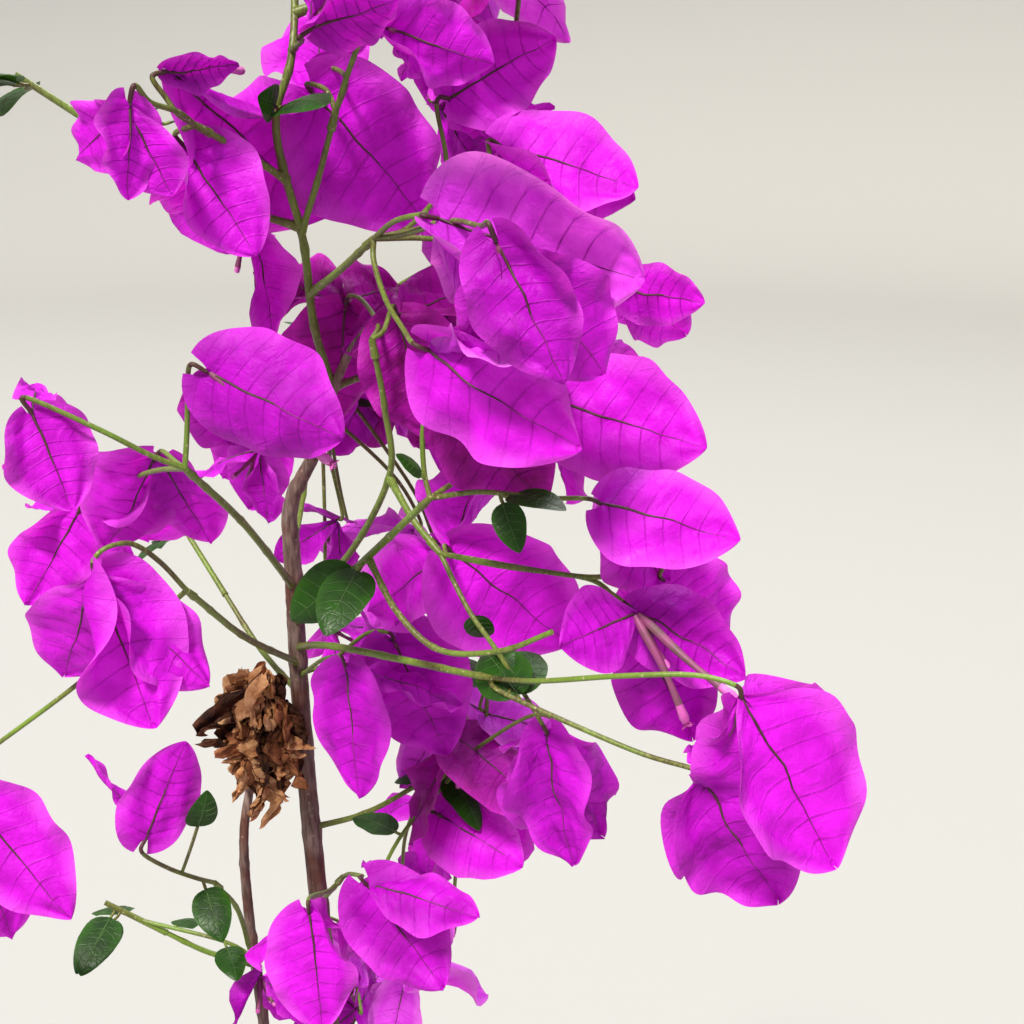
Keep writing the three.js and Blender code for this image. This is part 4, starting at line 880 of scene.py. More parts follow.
def ridges(finish, blade, t, s, radii, own=False):
    """Raised lines on a blade, one for each row of t and s: four-sided, so that both faces show them. In the
    blade's own finish they know where on it they are, as its sheet does."""
    middle, normal = blade.place(t, s), blade.normal(t, s)
    beside = units(np.cross(np.gradient(middle, axis=1), normal))
    wide = beside * radii[None, :, None]
    high = normal * np.maximum(radii, VEINS.least_height)[None, :, None]
    rings = np.stack([middle + wide, middle + high, middle - wide, middle - high], 2)
    lines, steps = t.shape
    faces = grid_faces(steps, 4, around=True)
    offsets = (np.arange(lines) * steps * 4)[:, None, None]
    where = None
    if own:
        where = (np.stack([t, np.abs(s)], -1)[:, :, None] * np.ones((4, 1))).reshape(-1, 2)
    pile(finish, rings, (faces[None] + offsets).reshape(-1, 4), where)


def vein_lines(blade, pairs, steps, chance):
    """Where a blade's side veins run: t and s for each vein at even shares of its way to the edge."""
    first, last = VEINS.first, VEINS.last
    roots = first + (last - first) * np.arange(pairs) / (pairs - 1)
    roots = np.concatenate([roots + chance.uniform(*VEINS.scatter) for _ in (0, 1)])[:, None]
    sides = np.repeat([-1.0, 1.0], pairs)[:, None]
    way = VEINS.reach * np.linspace(0, 1, steps)[None, :]
    return roots + vein_rise(roots, way), sides * way


def veins(finish, blade, chance, fine):
    """Midrib, side veins and, on a near blade, their forks, all finer towards the edge."""
    t = np.linspace(0.0, VEINS.midrib_end, fine.midrib)[None, :]
    radii = np.linspace(*MIDRIB, fine.midrib)
    half = fine.midrib // 2
    ridges("midribs", blade, t[:, :half + 1], 0 * t[:, :half + 1], radii[:half + 1])
    ridges("veins", blade, t[:, half:], 0 * t[:, half:], radii[half:])
    t, s = vein_lines(blade, fine.vein_pairs, fine.vein, chance)
    radii = np.linspace(*VEIN, fine.vein)
    ridges(finish, blade, t, s, radii, own=True)
    if fine is NEAR:
        way = np.linspace(0, 1, VEINS.fork_steps)[None, :]
        at = fine.vein // 2
        straight, curved = VEINS.fork_rise
        fork_s = s[:, at:at + 1] * (1 + way * VEINS.fork_reach)
        fork_t = t[:, at:at + 1] + (straight * way + curved * way**2) * (VEINS.fork_end - t[:, at:at + 1])
        ridges(finish, blade, fork_t, fork_s, np.linspace(radii[at], VEIN[1], VEINS.fork_steps), own=True)


# Stems and boughs

limbs = {}


def make_limb(name, r, route, parent=None, flare=1, bark=0, rise=(), top=()):
    """Adds a limb to limbs: its smooth line from foot to tip and its radii. A bough starts on its parent."""
    dots = [np.array(p, float) for p in rise] + list(route) + [np.array(p, float) for p in top]
    if parent:
        dots[0] = nearest_on([limbs[parent]["points"]], dots[0])
    points = smooth(dots, 2)
    radii = taper(r, len(points), flare)
    heading = unit(points[-1] - points[-2])
    limbs[name] = dict(
        name=name, dots=dots, points=points, radii=radii, parent=parent, bark=bark, heading=heading,
    )


def radius_at(limb, place):
    return limb["radii"][np.argmin(np.linalg.norm(limb["points"] - place, axis=1))]


def stem_at(height, angle):
    """The stem that a bough at a height and angle leaves, and where."""
    left = height < SPIRAL.side_stem_to and abs(angle - 180) < SPIRAL.side_stem_half
    name = "side_stem" if left else "trunk" if height < SPIRAL.leader_from else "leader"
    points = limbs[name]["points"]
    i = max(1, int(np.argmax(points[:, 2] >= height)))
    a, b = points[i - 1], points[i]
    return name, a + (b - a) * (height - a[2]) / (b[2] - a[2])


def crown_at(height):
    """How far right the crown's middle is at a height, and its radius."""
    heights, middles, radii = np.array(CROWN, float).T
    return float(np.interp(height, heights, middles)), float(np.interp(height, heights, radii))


def spiral_places():
    """The number, height and angle of each bough of the spiral, which leaves the picture's side free."""
    for i in range(SPIRAL.count):
        rise = SPIRAL.end_height - SPIRAL.start_height
        height = SPIRAL.start_height + rise * i / (SPIRAL.count - 1)
        angle = (SPIRAL.start + SPIRAL.turn * i) % 360
        off = (angle - SPIRAL.front + 540) % 360 - 180
        if SPIRAL.front_from < height < SPIRAL.front_to and abs(off) < SPIRAL.front_half:
            angle = SPIRAL.front + (math.copysign(SPIRAL.front_half, off) if off else 180)
        yield dict(number=i + 1, height=height, angle=angle)


def make_spiral_limb(number, height, angle):
    name, foot = stem_at(height, angle)
    out = outwards(angle) * SPIRAL.reach * crown_at(height)[1]
    rise = math.tan(math.radians(SPIRAL.climb)) * np.linalg.norm(out)
    route = [foot, foot + out / 2 + UP * rise * SPIRAL.sag, foot + out + UP * rise]
    make_limb(f"bough_{number:02d}", (SPIRAL.foot, SPIRAL.tip), route, parent=name)


def draw_limb(limb, number):
    """A limb's bark: swollen nodes up its length, a collar at its root, and ridges along it."""
    kind = "woody_bark" if limb["bark"] else "green_bark"
    bark = BARK[kind]
    points = smooth(limb["dots"], STEM.steps * 2)
    coarse = np.arange(len(limb["radii"])) * STEM.steps
    radii = np.interp(np.arange(len(points)), coarse, limb["radii"]) * bark.share
    run = run_along(points)
    nodes = (run + number * STEM.stagger) % bark.spacing - bark.spacing / 2
    radii = radii * (1 + bark.swell * np.exp(-((nodes / STEM.node) ** 2)))
    if limb["parent"]:
        radii = radii * (1 + STEM.collar * np.exp(-((run / STEM.collar_length) ** 2)))
    relief = relief_of(number, limb["bark"] or bark.depth, bark.ridges, bark.length)
    tube(kind, points, radii, bark.sides, relief)


# Masses


def seen_mass(name, on, sprays=(), leaves=(), at=None, toward=None):
    """What a mass that the picture shows is made of."""
    limb = limbs[on]
    start = nearest_on([limb["points"]], seen(at)) if at else limb["points"][-1] + limb["heading"] * GAP
    heading = unit(seen(toward or sprays[0]["stalk"][0]) - start) if at else limb["heading"]
    node = start + heading * (radius_at(limb, start) + STEM.from_limb if at else STEM.length)
    grown = []
    for spray in sprays:
        look = {"tint": "bright", **spray}
        line = [node] + [seen(place) for place in look.pop("stalk")]
        tip = seen(look.pop("tip"))
        knot = line[-1]
        look["out"] = facing(knot, tip, look.pop("turn"), look.pop("inside", False))
        more = []
        for other in look.pop("more", ()):
            end = seen(other["tip"])
            out = facing(knot, end, other["turn"], other.get("inside", False))
            more.append({**other, "tip": end, "out": out})
        look["tubes"] = [seen(place) for place in look.get("tubes", ())]
        grown.append(dict(line=line, tip=tip, more=more, near=True, **look))
    blades = []
    for foot, tip, turn, *stalk in leaves:
        base, end = seen(foot), seen(tip)
        share = stalk[0] if stalk else LEAF_SHAPE.stalk
        blades.append(dict(base=base, tip=end, out=facing(base, end, turn), stalk=share))
    return dict(name=name, on=on, near=True, stem=[start, node], sprays=grown, leaves=blades)


def grown_mass(name, limb, number, height, angle, **changes):
    """What a grown mass is made of: its sprays lie over its share of the crown like seeds on a disc."""
    habit = Sizes(**{**vars(GROWTH), **changes})
    draw = stream(number * habit.seed[0] + habit.seed[1])

    def about(amount):
        return amount * (draw() - 0.5)

    start = limb["points"][-1] + limb["heading"] * GAP
    end = start + limb["heading"] * habit.stem * crown_at(height)[1]
    count = round(habit.sprays + habit.sprays_per_radius * crown_at(height)[1])
    sprays = []
    for k in range(count):
        share = math.sqrt((k + 0.5) / count)
        swing = math.radians(k * SPIRAL.turn + number * habit.swing)
        z = height + habit.lift + habit.tall * share * math.sin(swing) + about(habit.scatter)
        way = angle + habit.round * share * math.cos(swing) + about(habit.scatter)
        middle, radius = crown_at(z)
        reach = radius * (habit.inner if k % 2 else habit.outer) - habit.bract * habit.hang
        knot = outwards(way) * max(reach, habit.least) + np.array([middle, 0, z])
        fall = math.radians(habit.droop + about(habit.sway))
        lead = outwards(way + about(habit.sway)) * math.cos(fall) - UP * math.sin(fall)
        tip = knot + lead * habit.bract
        node = start + (end - start) * (k + 1) / count
        bend = knot + (node - knot) * habit.hook_at + UP * habit.hook
        out = rolled(knot, tip, outwards(way) + UP, about(habit.roll))
        sprays.append(dict(
            line=[node, bend, knot], tip=tip, out=out, wide=habit.bract_wide, spread=habit.spread,
        ))
    leaves = []
    for _ in range(habit.leaves):
        base = start + (end - start) * (habit.leaf_from + (1 - habit.leaf_from) * draw())
        way = outwards(angle + about(habit.leaf_round))
        way = unit(way + UP * (habit.leaf_rise - habit.leaf_fall * draw()))
        tip = base + way * habit.leaf_size
        leaves.append(dict(base=base, tip=tip, out=rolled(base, tip, UP, about(habit.leaf_roll))))
    return dict(
        name=name, on=limb["name"], near=False, stem=[start, end], sprays=sprays, leaves=leaves,
        height=height, angle=angle, number=number,
    )


def bracts_of(spray, draw):
    """The bracts of a spray, from its leading one: they stand round the stalk's line at about even turns.
    Where the picture shows the others, they lie as it shows them."""
    line, knot = spray["line"], spray["line"][-1]
    lead = spray["tip"] - knot
    length, along, out = np.linalg.norm(lead), unit(lead), spray["out"]
    opened = math.radians(spray["spread"])
    axis = along * math.cos(opened) - out * math.sin(opened)
    radial = along * math.sin(opened) + out * math.cos(opened)
    neck = SPRAY.neck
    arrive = unit(along + axis) if spray.get("near") else axis
    spray["line"] = [line[0]] + [p for p in line[1:-1] if np.linalg.norm(p - knot) > SPRAY.clear * neck]
    spray["line"] += [knot - arrive * neck, knot]
    behind = knot - out * SPRAY.behind
    bracts = []
    for i, turn in enumerate(SPRAY.turns):
        stagger, wider, shorter = 0, 1, 1
        if i:
            stagger = (draw() - 0.5) * SPRAY.stagger
            least, most = SPRAY.open
            wider = least + (most - least) * draw()
            shorter = 1 - SPRAY.shrink * draw()
        way = turned(radial, axis, turn + stagger)
        open_by = opened * wider
        bracts.append(dict(
            base=behind if i else knot, axis=axis, along=axis * math.cos(open_by) + way * math.sin(open_by),
            out=way * math.cos(open_by) - axis * math.sin(open_by), length=length * shorter,
            width=spray["wide"] * (SPRAY.narrow if i else 1),
            heel=[share * math.sin(open_by) for share in SPRAY.heels[i]],
            lie=dict(lobe=SPRAY.lobe) if i else spray.get("lie", {}),
        ))
    if spray.get("more"):
        del bracts[1:]
    for other in spray.get("more", ()):
        way = other["tip"] - behind
        bracts.append(dict(
            base=behind, axis=axis, along=unit(way), out=other["out"], length=np.linalg.norm(way),
            width=other["wide"], heel=SPRAY.heel, lie=dict(lobe=SPRAY.lobe, **other.get("lie", {})),
            tint=other.get("tint"),
        ))
    return bracts


def on_bract(bract, share):
    """The place at a share of a bract's length."""
    return bract["base"] + bract["along"] * bract["length"] * share


class Solid:
    """A node's solid, asked how near a place is to it."""

    def __init__(self, names):
        corners, faces = [], []
        for name in names:
            mesh = frame["nodes"][name].data
            faces += [[i + len(corners) for i in face.vertices] for face in mesh.polygons]
            corners += [v.co.copy() for v in mesh.vertices]
        self.tree = BVHTree.FromPolygons(corners, faces)

    def near(self, place, distance):
        return self.tree.find_nearest(tuple(place * MM), distance * MM)[0] is not None


TINTS = ("bright", "bright", "mid", "mid", "deep", "pale")


def draw_spray(spray, bracts, fine, chance):
    """One spray: its hooked stalk, a dark neck, and its bracts with their veins and flower tubes."""
    tint = spray.get("tint") or chance.choice(TINTS)
    line = smooth(spray["line"], fine.stalk)
    radii = np.linspace(STALK.foot, STALK.tip, len(line))
    radii[-3:] *= STALK.neck
    dark = len(line) - 1 - fine.neck
    tube("green_stalks", line[:dark + 1], radii[:dark + 1], fine.stalk_sides)
    tube("midribs", line[dark:], radii[dark:], fine.stalk_sides)
    tubes = spray.get("tubes", ())
    for i, bract in enumerate(bracts):
        shape = [bract[name] for name in ("base", "along", "out", "length", "width")]
        blade = Blade(*shape, BRACT, chance, bract["heel"])
        vars(blade).update(bract["lie"])
        paper = "bracts_" + (bract.get("tint") or tint)
        blade_sheet(paper, blade, fine.bract)
        veins(paper, blade, chance, fine)
        draw_flower(bract, fine, chance, tubes[i] if i < len(tubes) else None)


def fluted(angle, run):
    """The five ribs of a flower tube."""
    return 1 + FLOWER.rib * np.cos(FLOWER.lobes * angle) + 0 * run


def draw_flower(bract, fine, chance, end):
    """A slender tube on the bract's inner side, pinched in its middle. One with an end given is in bloom."""
    lean = unit(bract["along"] + bract["axis"])
    foot = bract["base"] + lean * FLOWER.foot
    shown = end is not None
    if shown:
        lean = unit(end - foot)
    else:
        end = foot + lean * bract["length"] * chance.uniform(*FLOWER.bud) - bract["out"] * FLOWER.off
    middle = (foot + end) / 2 - bract["out"] * np.linalg.norm(end - foot) * FLOWER.bow
    points = smooth([foot, middle, end], fine.flower)
    radii = np.interp(np.linspace(0, 1, len(points)), *FLOWER.profile)
    radii = radii * (FLOWER.full if shown else 1)
    cut = int(len(points) * FLOWER.mouth)
    relief = fluted if fine is NEAR else None
    tube("flower_tubes", points[:cut + 1], radii[:cut + 1], fine.flower_sides, relief)
    tube("flower_mouths", points[cut:], radii[cut:], fine.flower_sides, relief)
    if shown:
        beside = unit(np.cross(lean, UP))
        length, width = FLOWER.lobe
        for k in range(FLOWER.lobes):
            way = turned(beside, lean, 360 / FLOWER.lobes * k)
            along, out = unit(way + lean * FLOWER.lobe_lean), unit(lean - way * FLOWER.lobe_turn)
            lobe = Blade(end, along, out, length, width, LEAF, chance)
            blade_sheet("flower_mouths", lobe, FINE.flower_lobe)


def draw_leaf(leaf, lines, chance):
    """A leaf with its midrib and side veins, on a stalk that starts at the nearest place on the lines."""
    foot = nearest_on(lines, leaf["base"])
    way = leaf["tip"] - foot
    length, along = np.linalg.norm(way), unit(way)
    stalk = length * leaf.get("stalk", LEAF_SHAPE.stalk)
    base = foot + along * stalk
    line = smooth([foot, foot + along * stalk * 0.5 - UP * LEAF_SHAPE.sag, base], 4)
    tube("green_stalks", line, [LEAF_SHAPE.stalk_radius] * len(line), FAR.stalk_sides)
    out = unit(leaf["out"] - along * np.dot(leaf["out"], along))
    blade = Blade(base, along, out, length - stalk, LEAF_SHAPE.width, LEAF, chance)
    blade_sheet("leaves", blade, FINE.leaf)
    t = np.linspace(0, LEAF_SHAPE.midrib_end, FINE.leaf_midrib)[None, :]
    ridges("leaf_veins", blade, t, 0 * t, np.linspace(*LEAF_SHAPE.midrib, FINE.leaf_midrib))
    t, s = vein_lines(blade, LEAF_SHAPE.pairs, FINE.leaf_vein, chance)
    ridges("leaf_veins", blade, t, s, np.linspace(*LEAF_SHAPE.vein, FINE.leaf_vein))


def draw_mass(mass, seed):
    """One mass, with only what its solid holds too. Gives the lines of its stem and stalks."""
    draw, chance = stream(seed), random.Random(seed)
    solid = Solid([mass["name"]])
    lines = [np.array(mass["stem"])]
    limb = limbs[mass["on"]]
    at_tip = np.linalg.norm(mass["stem"][0] - limb["points"][-1]) < 1
    inner = limb["points"][-1] - limb["heading"] * STEM.inside if at_tip else mass["stem"][0]
    stem = smooth([inner, *mass["stem"]], 5)
    tube("green_stalks", stem, np.linspace(STEM.foot, STEM.tip, len(stem)), NEAR.stalk_sides)
    for spray in mass["sprays"]:
        bracts = bracts_of(spray, draw)
        if not mass["near"]:
            bracts = [b for b in bracts if solid.near(on_bract(b, HELD.bract_at), HELD.within)]
            bracts = [b for b in bracts if all_in_reach(on_bract(b, share) for share in HELD.spots)]
            bracts = bracts if all_in_reach(spray["line"]) else []
        if bracts:
            draw_spray(spray, bracts, NEAR if mass["near"] else FAR, chance)
            lines.append(np.array(spray["line"]))
    for leaf in mass["leaves"]:
        if mass["near"]:
            draw_leaf(leaf, [*lines, limb["points"]], chance)
            continue
        foot = nearest_on(lines, leaf["base"])
        if solid.near(foot + (leaf["tip"] - foot) * HELD.leaf_at, HELD.within):
            draw_leaf(leaf, lines, chance)
    return lines


# Smaller sprays and leaves between the solids' sprays


def clear_of(solid, bracts, distance):
    spots = [on_bract(bract, share) for bract in bracts for share in EXTRA.spots]
    return all(in_reach(spot) and not solid.near(spot, distance) for spot in spots)


def fill_mass(mass, lines, front):
    """More of the same rule on a grown mass, smaller and further in, and clear of what hangs in front."""
    chance = random.Random(mass["number"] + EXTRA.seed)

    def pick(name):
        return chance.uniform(*vars(EXTRA)[name])

    start, end = mass["stem"]
    for k in range(EXTRA.sprays):
        share = math.sqrt((k + EXTRA.first) / EXTRA.sprays)
        swing = k * math.radians(SPIRAL.turn) + mass["number"] * EXTRA.twist
        z = mass["height"] + GROWTH.lift / 2 + GROWTH.tall * share * math.sin(swing) + pick("scatter")
        way = mass["angle"] + GROWTH.round * EXTRA.round * share * math.cos(swing) + pick("swing")
        middle, radius = crown_at(z)
        length = pick("bract")
        reach = max(radius * pick("reach") - length * GROWTH.hang, EXTRA.least)
        knot = outwards(way) * reach + np.array([middle, 0, z])
        fall = math.radians(GROWTH.droop + pick("fall"))
        lead = outwards(way + pick("sway")) * math.cos(fall) - UP * math.sin(fall)
        node = start + (end - start) * chance.random()
        bend = knot + (node - knot) * GROWTH.hook_at + UP * pick("hook")
        out = rolled(knot, knot + lead, outwards(way) + UP, pick("roll"))
        tip = knot + lead * length
        spray = dict(line=[node, bend, knot], tip=tip, out=out, wide=pick("wide"), spread=pick("spread"))
        bracts = bracts_of(spray, chance.random)
        if clear_of(front, bracts, EXTRA.clear) and all_in_reach(spray["line"]):
            draw_spray(spray, bracts, FAR, chance)
            lines.append(np.array(spray["line"]))
    for _ in range(EXTRA.leaves):
        line = chance.choice(lines)
        at = pick("leaf_at") * (len(line) - 1)
        foot = line[int(at)] + (line[int(at) + 1] - line[int(at)]) * (at % 1)
        way = unit(outwards(chance.uniform(0, 360)) + UP * pick("leaf_rise"))
        leaf = dict(base=foot, tip=foot + way * pick("leaf"), out=UP + way * EXTRA.leaf_tilt)
        if all_in_reach([foot, leaf["tip"]]) and not front.near(leaf["tip"], EXTRA.leaf_clear):
            draw_leaf(leaf, lines, chance)


# The withered clump


def draw_clump():
    """Dead leaves caught on the trunk, crumpled round each other, in the same clump as the solid."""
    draw, chance = stream(CLUMP.seed), random.Random(CLUMP.seed)
    middle = seen(CLUMP.middle)
    width, depth, height = CLUMP.half
    count = CLUMP.blades * CLUMP.strips
    for i in range(count):
        rise = 1 - 2 * (i + 0.5) / count
        reach = math.sqrt(1 - rise * rise)
        out = outwards(CLUMP.start + (SPIRAL.turn * i) % CLUMP.sweep)
        fall = CLUMP.fall[0] + (CLUMP.fall[1] - CLUMP.fall[0]) * draw()
        way = unit(out - UP * fall)
        foot = np.array([out[0] * width * reach, out[1] * depth * reach, rise * height])
        base = middle + foot * CLUMP.layers[i % 2] - way * CLUMP.sink + UP * CLUMP.lift
        least, most = CLUMP.length
        length = (least + (most - least) * draw()) * chance.uniform(*CLUMP.torn)
        face = rolled(base, base + way, out, CLUMP.roll * (draw() - 0.5))
        wide = CLUMP.wide * chance.uniform(*CLUMP.narrow)
        blade = Blade(base, way, face, length, wide, WITHERED, chance)
        shades = CLUMP.left_shades if foot[0] < CLUMP.left_to * width else CLUMP.right_shades
        blade_sheet("withered_" + shades[i % len(shades)], blade, FINE.withered)
        t = np.linspace(0, CLUMP.midrib_end, FINE.withered_midrib)[None, :]
        ridges("withered_dark", blade, t, 0 * t, np.linspace(*CLUMP.midrib, FINE.withered_midrib))


# Pot and potting mix


def turned_body(finish, profile, sides, rise=None):
    """A body of revolution about +Z from a closed line of (radius, height). rise lifts its top unevenly."""
    profile = np.array(profile, float)
    angles = np.arange(sides) / sides * FULL_TURN
    x, y = profile[:, 0, None] * np.cos(angles), profile[:, 0, None] * np.sin(angles)
    z = profile[:, 1, None] * np.ones(sides)
    if rise:
        z += rise(x, y) * (profile[:, 1, None] == SOIL_TOP)
    pile(finish, np.stack([x, y, z], -1), grid_faces(len(profile), sides, around=True)[:, ::-1])


def rounded(corners, radius, steps=4):
    """A line through some corners, each rounded to that radius where there is room."""
    corners = [np.array(c, float) for c in corners]
    line = [corners[0]]
    for before, corner, after in zip(corners, corners[1:], corners[2:]):
        there, back = before - corner, after - corner
        cut = min(radius, np.linalg.norm(there) * 0.45, np.linalg.norm(back) * 0.45)
        a, b = corner + unit(there) * cut, corner + unit(back) * cut
        for share in np.linspace(0, 1, steps):
            line.append(a * (1 - share) ** 2 + corner * 2 * share * (1 - share) + b * share**2)
    return line + [corners[-1]]


def wall_radius(z):
    """The pot's outer radius at a height, below its band."""
    top = POT.rim_radius - POT.band_step
    return POT.base_radius + (top - POT.base_radius) * z / POT.height


def make_pot():
    """A moulded pot: a recessed base, a tapered wall with two beads, and a stepped band with a rolled lip."""
    top, band = POT.height, POT.height - POT.band_height
    base, rim, wall, lip, floor = POT.base_radius, POT.rim_radius, POT.wall, POT.lip, POT.floor
    recess, bead_up, bead_out = POT.recess, POT.bead_half, POT.bead
    bead_line = ((-bead_up, 0), (-bead_out, bead_out), (bead_out, bead_out), (bead_up, 0))
    outside = [(0, recess), (base - 14, recess), (base - 12, 0), (base - 1.5, 0), (base, 1.5)]
    for bead in (POT.low_bead, band - POT.high_bead):
        outside += [(wall_radius(bead) + out, bead + up) for up, out in bead_line]
    outside += [
        (wall_radius(band) - 0.1, band), (rim, band + 0.2), (rim + 0.6, top - 4), (rim + lip, top - 3),
        (rim + lip, top), (rim - 1.5, top), (wall_radius(top) - wall, top - 2),
    ]
    inside = [(wall_radius(z) - wall, z) for z in (band, 60, floor)]
    turned_body("pot_plastic", rounded(outside + inside + [(0, floor)], POT.corner), FINE.pot_sides)


def mix_relief(x, y):
    """How far the mix rises over its level: the solid's slow waves, and lumps of a few millimetres."""
    edge = wall_radius(SOIL_TOP)
    radius, angle = np.hypot(x, y), np.arctan2(y, x)
    beyond = np.clip((radius - SOIL.flat_radius) / (edge - SOIL.flat_radius), 0, 1)
    rise = sum(np.sin(count * angle + k + 2 * beyond) for k, count in enumerate(SOIL.waves))
    rise = rise * SOIL.ripple * beyond
    along, across = SOIL.lump_rate
    for i, size in enumerate(SOIL.lumps):
        lumps = np.sin(x / size * along + i * SOIL.lump_shift + np.sin(y / size))
        lumps = lumps * np.cos(y / size * across + i)
        rise = rise + SOIL.lump_rise * size * lumps
    return rise


def make_mix():
    """The potting mix: a plug that fills the pot, with closer rings in its uneven top towards the wall."""
    edge, floor = wall_radius(SOIL_TOP) - POT.wall - GAP, POT.floor + GAP
    low = wall_radius(floor) - POT.wall - GAP
    count = FINE.mix_rings
    rings = [(edge * (1 - (i / count) ** SOIL.ring_spread), SOIL_TOP) for i in range(count + 1)]
    outline = [(0, floor), (low, floor), (edge, SOIL_TOP - SOIL.chamfer), *rings]
    turned_body("potting_mix", outline, FINE.mix_sides, mix_relief)



CRUMB = Sizes(
    seed=11, side_stem=(-24, 6), from_wall=3, from_stem=7, rough=(0.75, 1.2), tilt=28, smaller=(0.6, 1),
    ring=0.45,
)
CRUMBS = [
    dict(finish="bark_chips", count=620, size=(2.2, 7.5), wide=(0.35, 0.6), thick=(0.16, 0.3)),
    dict(finish="peat_crumbs", count=2300, size=(0.7, 1.9), wide=(0.7, 1), thick=(0.6, 0.9)),
    dict(finish="perlite", count=170, size=(0.8, 1.9), wide=(0.8, 1), thick=(0.7, 0.9)),
]


def make_crumbs():
    """What lies loose on the mix, each a rough little stone of 14 corners, clear of both stems."""
    chance = random.Random(CRUMB.seed)
    around = np.arange(6) / 6 * FULL_TURN
    rings = [np.stack([np.cos(around), np.sin(around), np.full(6, h)], 1) for h in (CRUMB.ring, -CRUMB.ring)]
    corners = np.vstack([[[0, 0, 1], [0, 0, -1]], *rings])
    k = np.arange(6)
    high, low = 2 + k, 8 + k
    next_high, next_low = 2 + (k + 1) % 6, 8 + (k + 1) % 6
    faces = np.vstack([
        np.stack([0 * k, high, next_high], 1), np.stack([high, low, next_low], 1),
        np.stack([high, next_low, next_high], 1), np.stack([0 * k + 1, next_low, low], 1),
    ])
    edge = wall_radius(SOIL_TOP) - POT.wall - CRUMB.from_wall
    stem_x, stem_y = CRUMB.side_stem
    for kind in CRUMBS:
        for _ in range(kind["count"]):
            radius, angle = edge * math.sqrt(chance.random()), chance.uniform(0, FULL_TURN)
            x, y = radius * math.cos(angle), radius * math.sin(angle)
            size = chance.uniform(*kind["size"]) * chance.uniform(*CRUMB.smaller)
            half = np.array([1, chance.uniform(*kind["wide"]), chance.uniform(*kind["thick"])]) * size / 2
            if min(math.hypot(x, y), math.hypot(x - stem_x, y - stem_y)) < CRUMB.from_stem + size / 2:
                continue
            rough = np.array([chance.uniform(*CRUMB.rough) for _ in corners])[:, None]
            spin, tilt = chance.uniform(0, 360), chance.uniform(-CRUMB.tilt, CRUMB.tilt)
            places = corners * rough * half
            places = np.array([turned(turned(place, UP, spin), outwards(spin), tilt) for place in places])
            z = SOIL_TOP + float(mix_relief(np.array(x), np.array(y))) + half[2] * 0.5
            pile(kind["finish"], places + np.array([x, y, z]), faces)


# Materials


def colour(code):
    """An sRGB hex colour as Blender's linear red, green, blue and alpha."""
    parts = [int(code[i:i + 2], 16) / 255 for i in (1, 3, 5)]
    return (*[c / 12.92 if c <= 0.04045 else ((c + 0.055) / 1.055) ** 2.4 for c in parts], 1)


def per_mm(size):
    """A texture's scale for a pattern that repeats about every size millimetres."""
    return 1 / (size * MM)


def add(tree, kind, inputs=(), output=0, **settings):
    """Adds a node with its settings and gives one of its outputs. inputs holds values and other nodes'
    outputs, in the node's own order or by name."""
    made = tree.nodes.new("ShaderNode" + kind)
    for name, value in settings.items():
        setattr(made, name, value)
    for name, value in inputs.items() if isinstance(inputs, dict) else enumerate(inputs):
        if hasattr(value, "is_output"):
            tree.links.new(value, made.inputs[name])
        else:
            made.inputs[name].default_value = value
    return made.outputs[output] if made.outputs else None


def blank_material(name):
    """An empty material, its node tree, and an output that says where on the plant a point is."""
    made = bpy.data.materials.new(name)
    made.use_nodes = True
    made.node_tree.nodes.clear()
    return made, made.node_tree, add(made.node_tree, "TexCoord", output="Object")


def on_blade(tree):
    """How far along a blade a point is, and how far out towards its edge."""
    across = add(tree, "SeparateXYZ", (add(tree, "UVMap", uv_map="blade"),))
    return across.node.outputs[:2]


def painted(tree, main, *layers):
    """A colour with others laid over it. Each layer is a pattern, the two values of it that count, how much
    of the layer shows at each of them, and the layer's colour."""
    base = colour(main)
    for pattern, low, high, at_low, at_high, code in layers:
        share = add(tree, "MapRange", (pattern, low, high, at_low, at_high))
        base = add(tree, "Mix", {0: share, 6: base, 7: colour(code)}, 2, data_type="RGBA")
    return base


def finished(made, shader, height=None, relief=0):
    """Joins a shader to the material's output, with a bump of that many millimetres."""
    tree = made.node_tree
    if height:
        bump = add(tree, "Bump", {"Strength": 1, "Distance": relief * MM, "Height": height})
        for node in tree.nodes:
            if node.type in ("BSDF_PRINCIPLED", "BSDF_TRANSLUCENT"):
                tree.links.new(bump, node.inputs["Normal"])
    add(tree, "OutputMaterial", {"Surface": shader})
    return made


def side_veins(tree, t, edge):
    """How much of a side vein is at a place on a blade, 1 on it and 0 beside it, as vein_rise lays them."""
    each = (VEINS.pairs - 1) / (VEINS.last - VEINS.first)
    out = add(tree, "Math", (edge, VEINS.curve), operation="POWER")
    lean = add(tree, "Math", (t, -VEINS.lean[1], VEINS.lean[0]), operation="MULTIPLY_ADD")
    rise = add(tree, "Math", (out, lean), operation="MULTIPLY")
    root = add(tree, "Math", (rise, -VEINS.rise, t), operation="MULTIPLY_ADD")
    count = add(tree, "Math", (root, each, -VEINS.first * each), operation="MULTIPLY_ADD")
    off = add(tree, "Math", (count, 0.5), operation="PINGPONG")
    half = add(tree, "MapRange", (edge, 0, 0.9, 0.085, 0.03))
    share = add(tree, "Math", (off, half), operation="DIVIDE")
    return add(tree, "MapRange", (share, 0.3, 1, 1, 0))


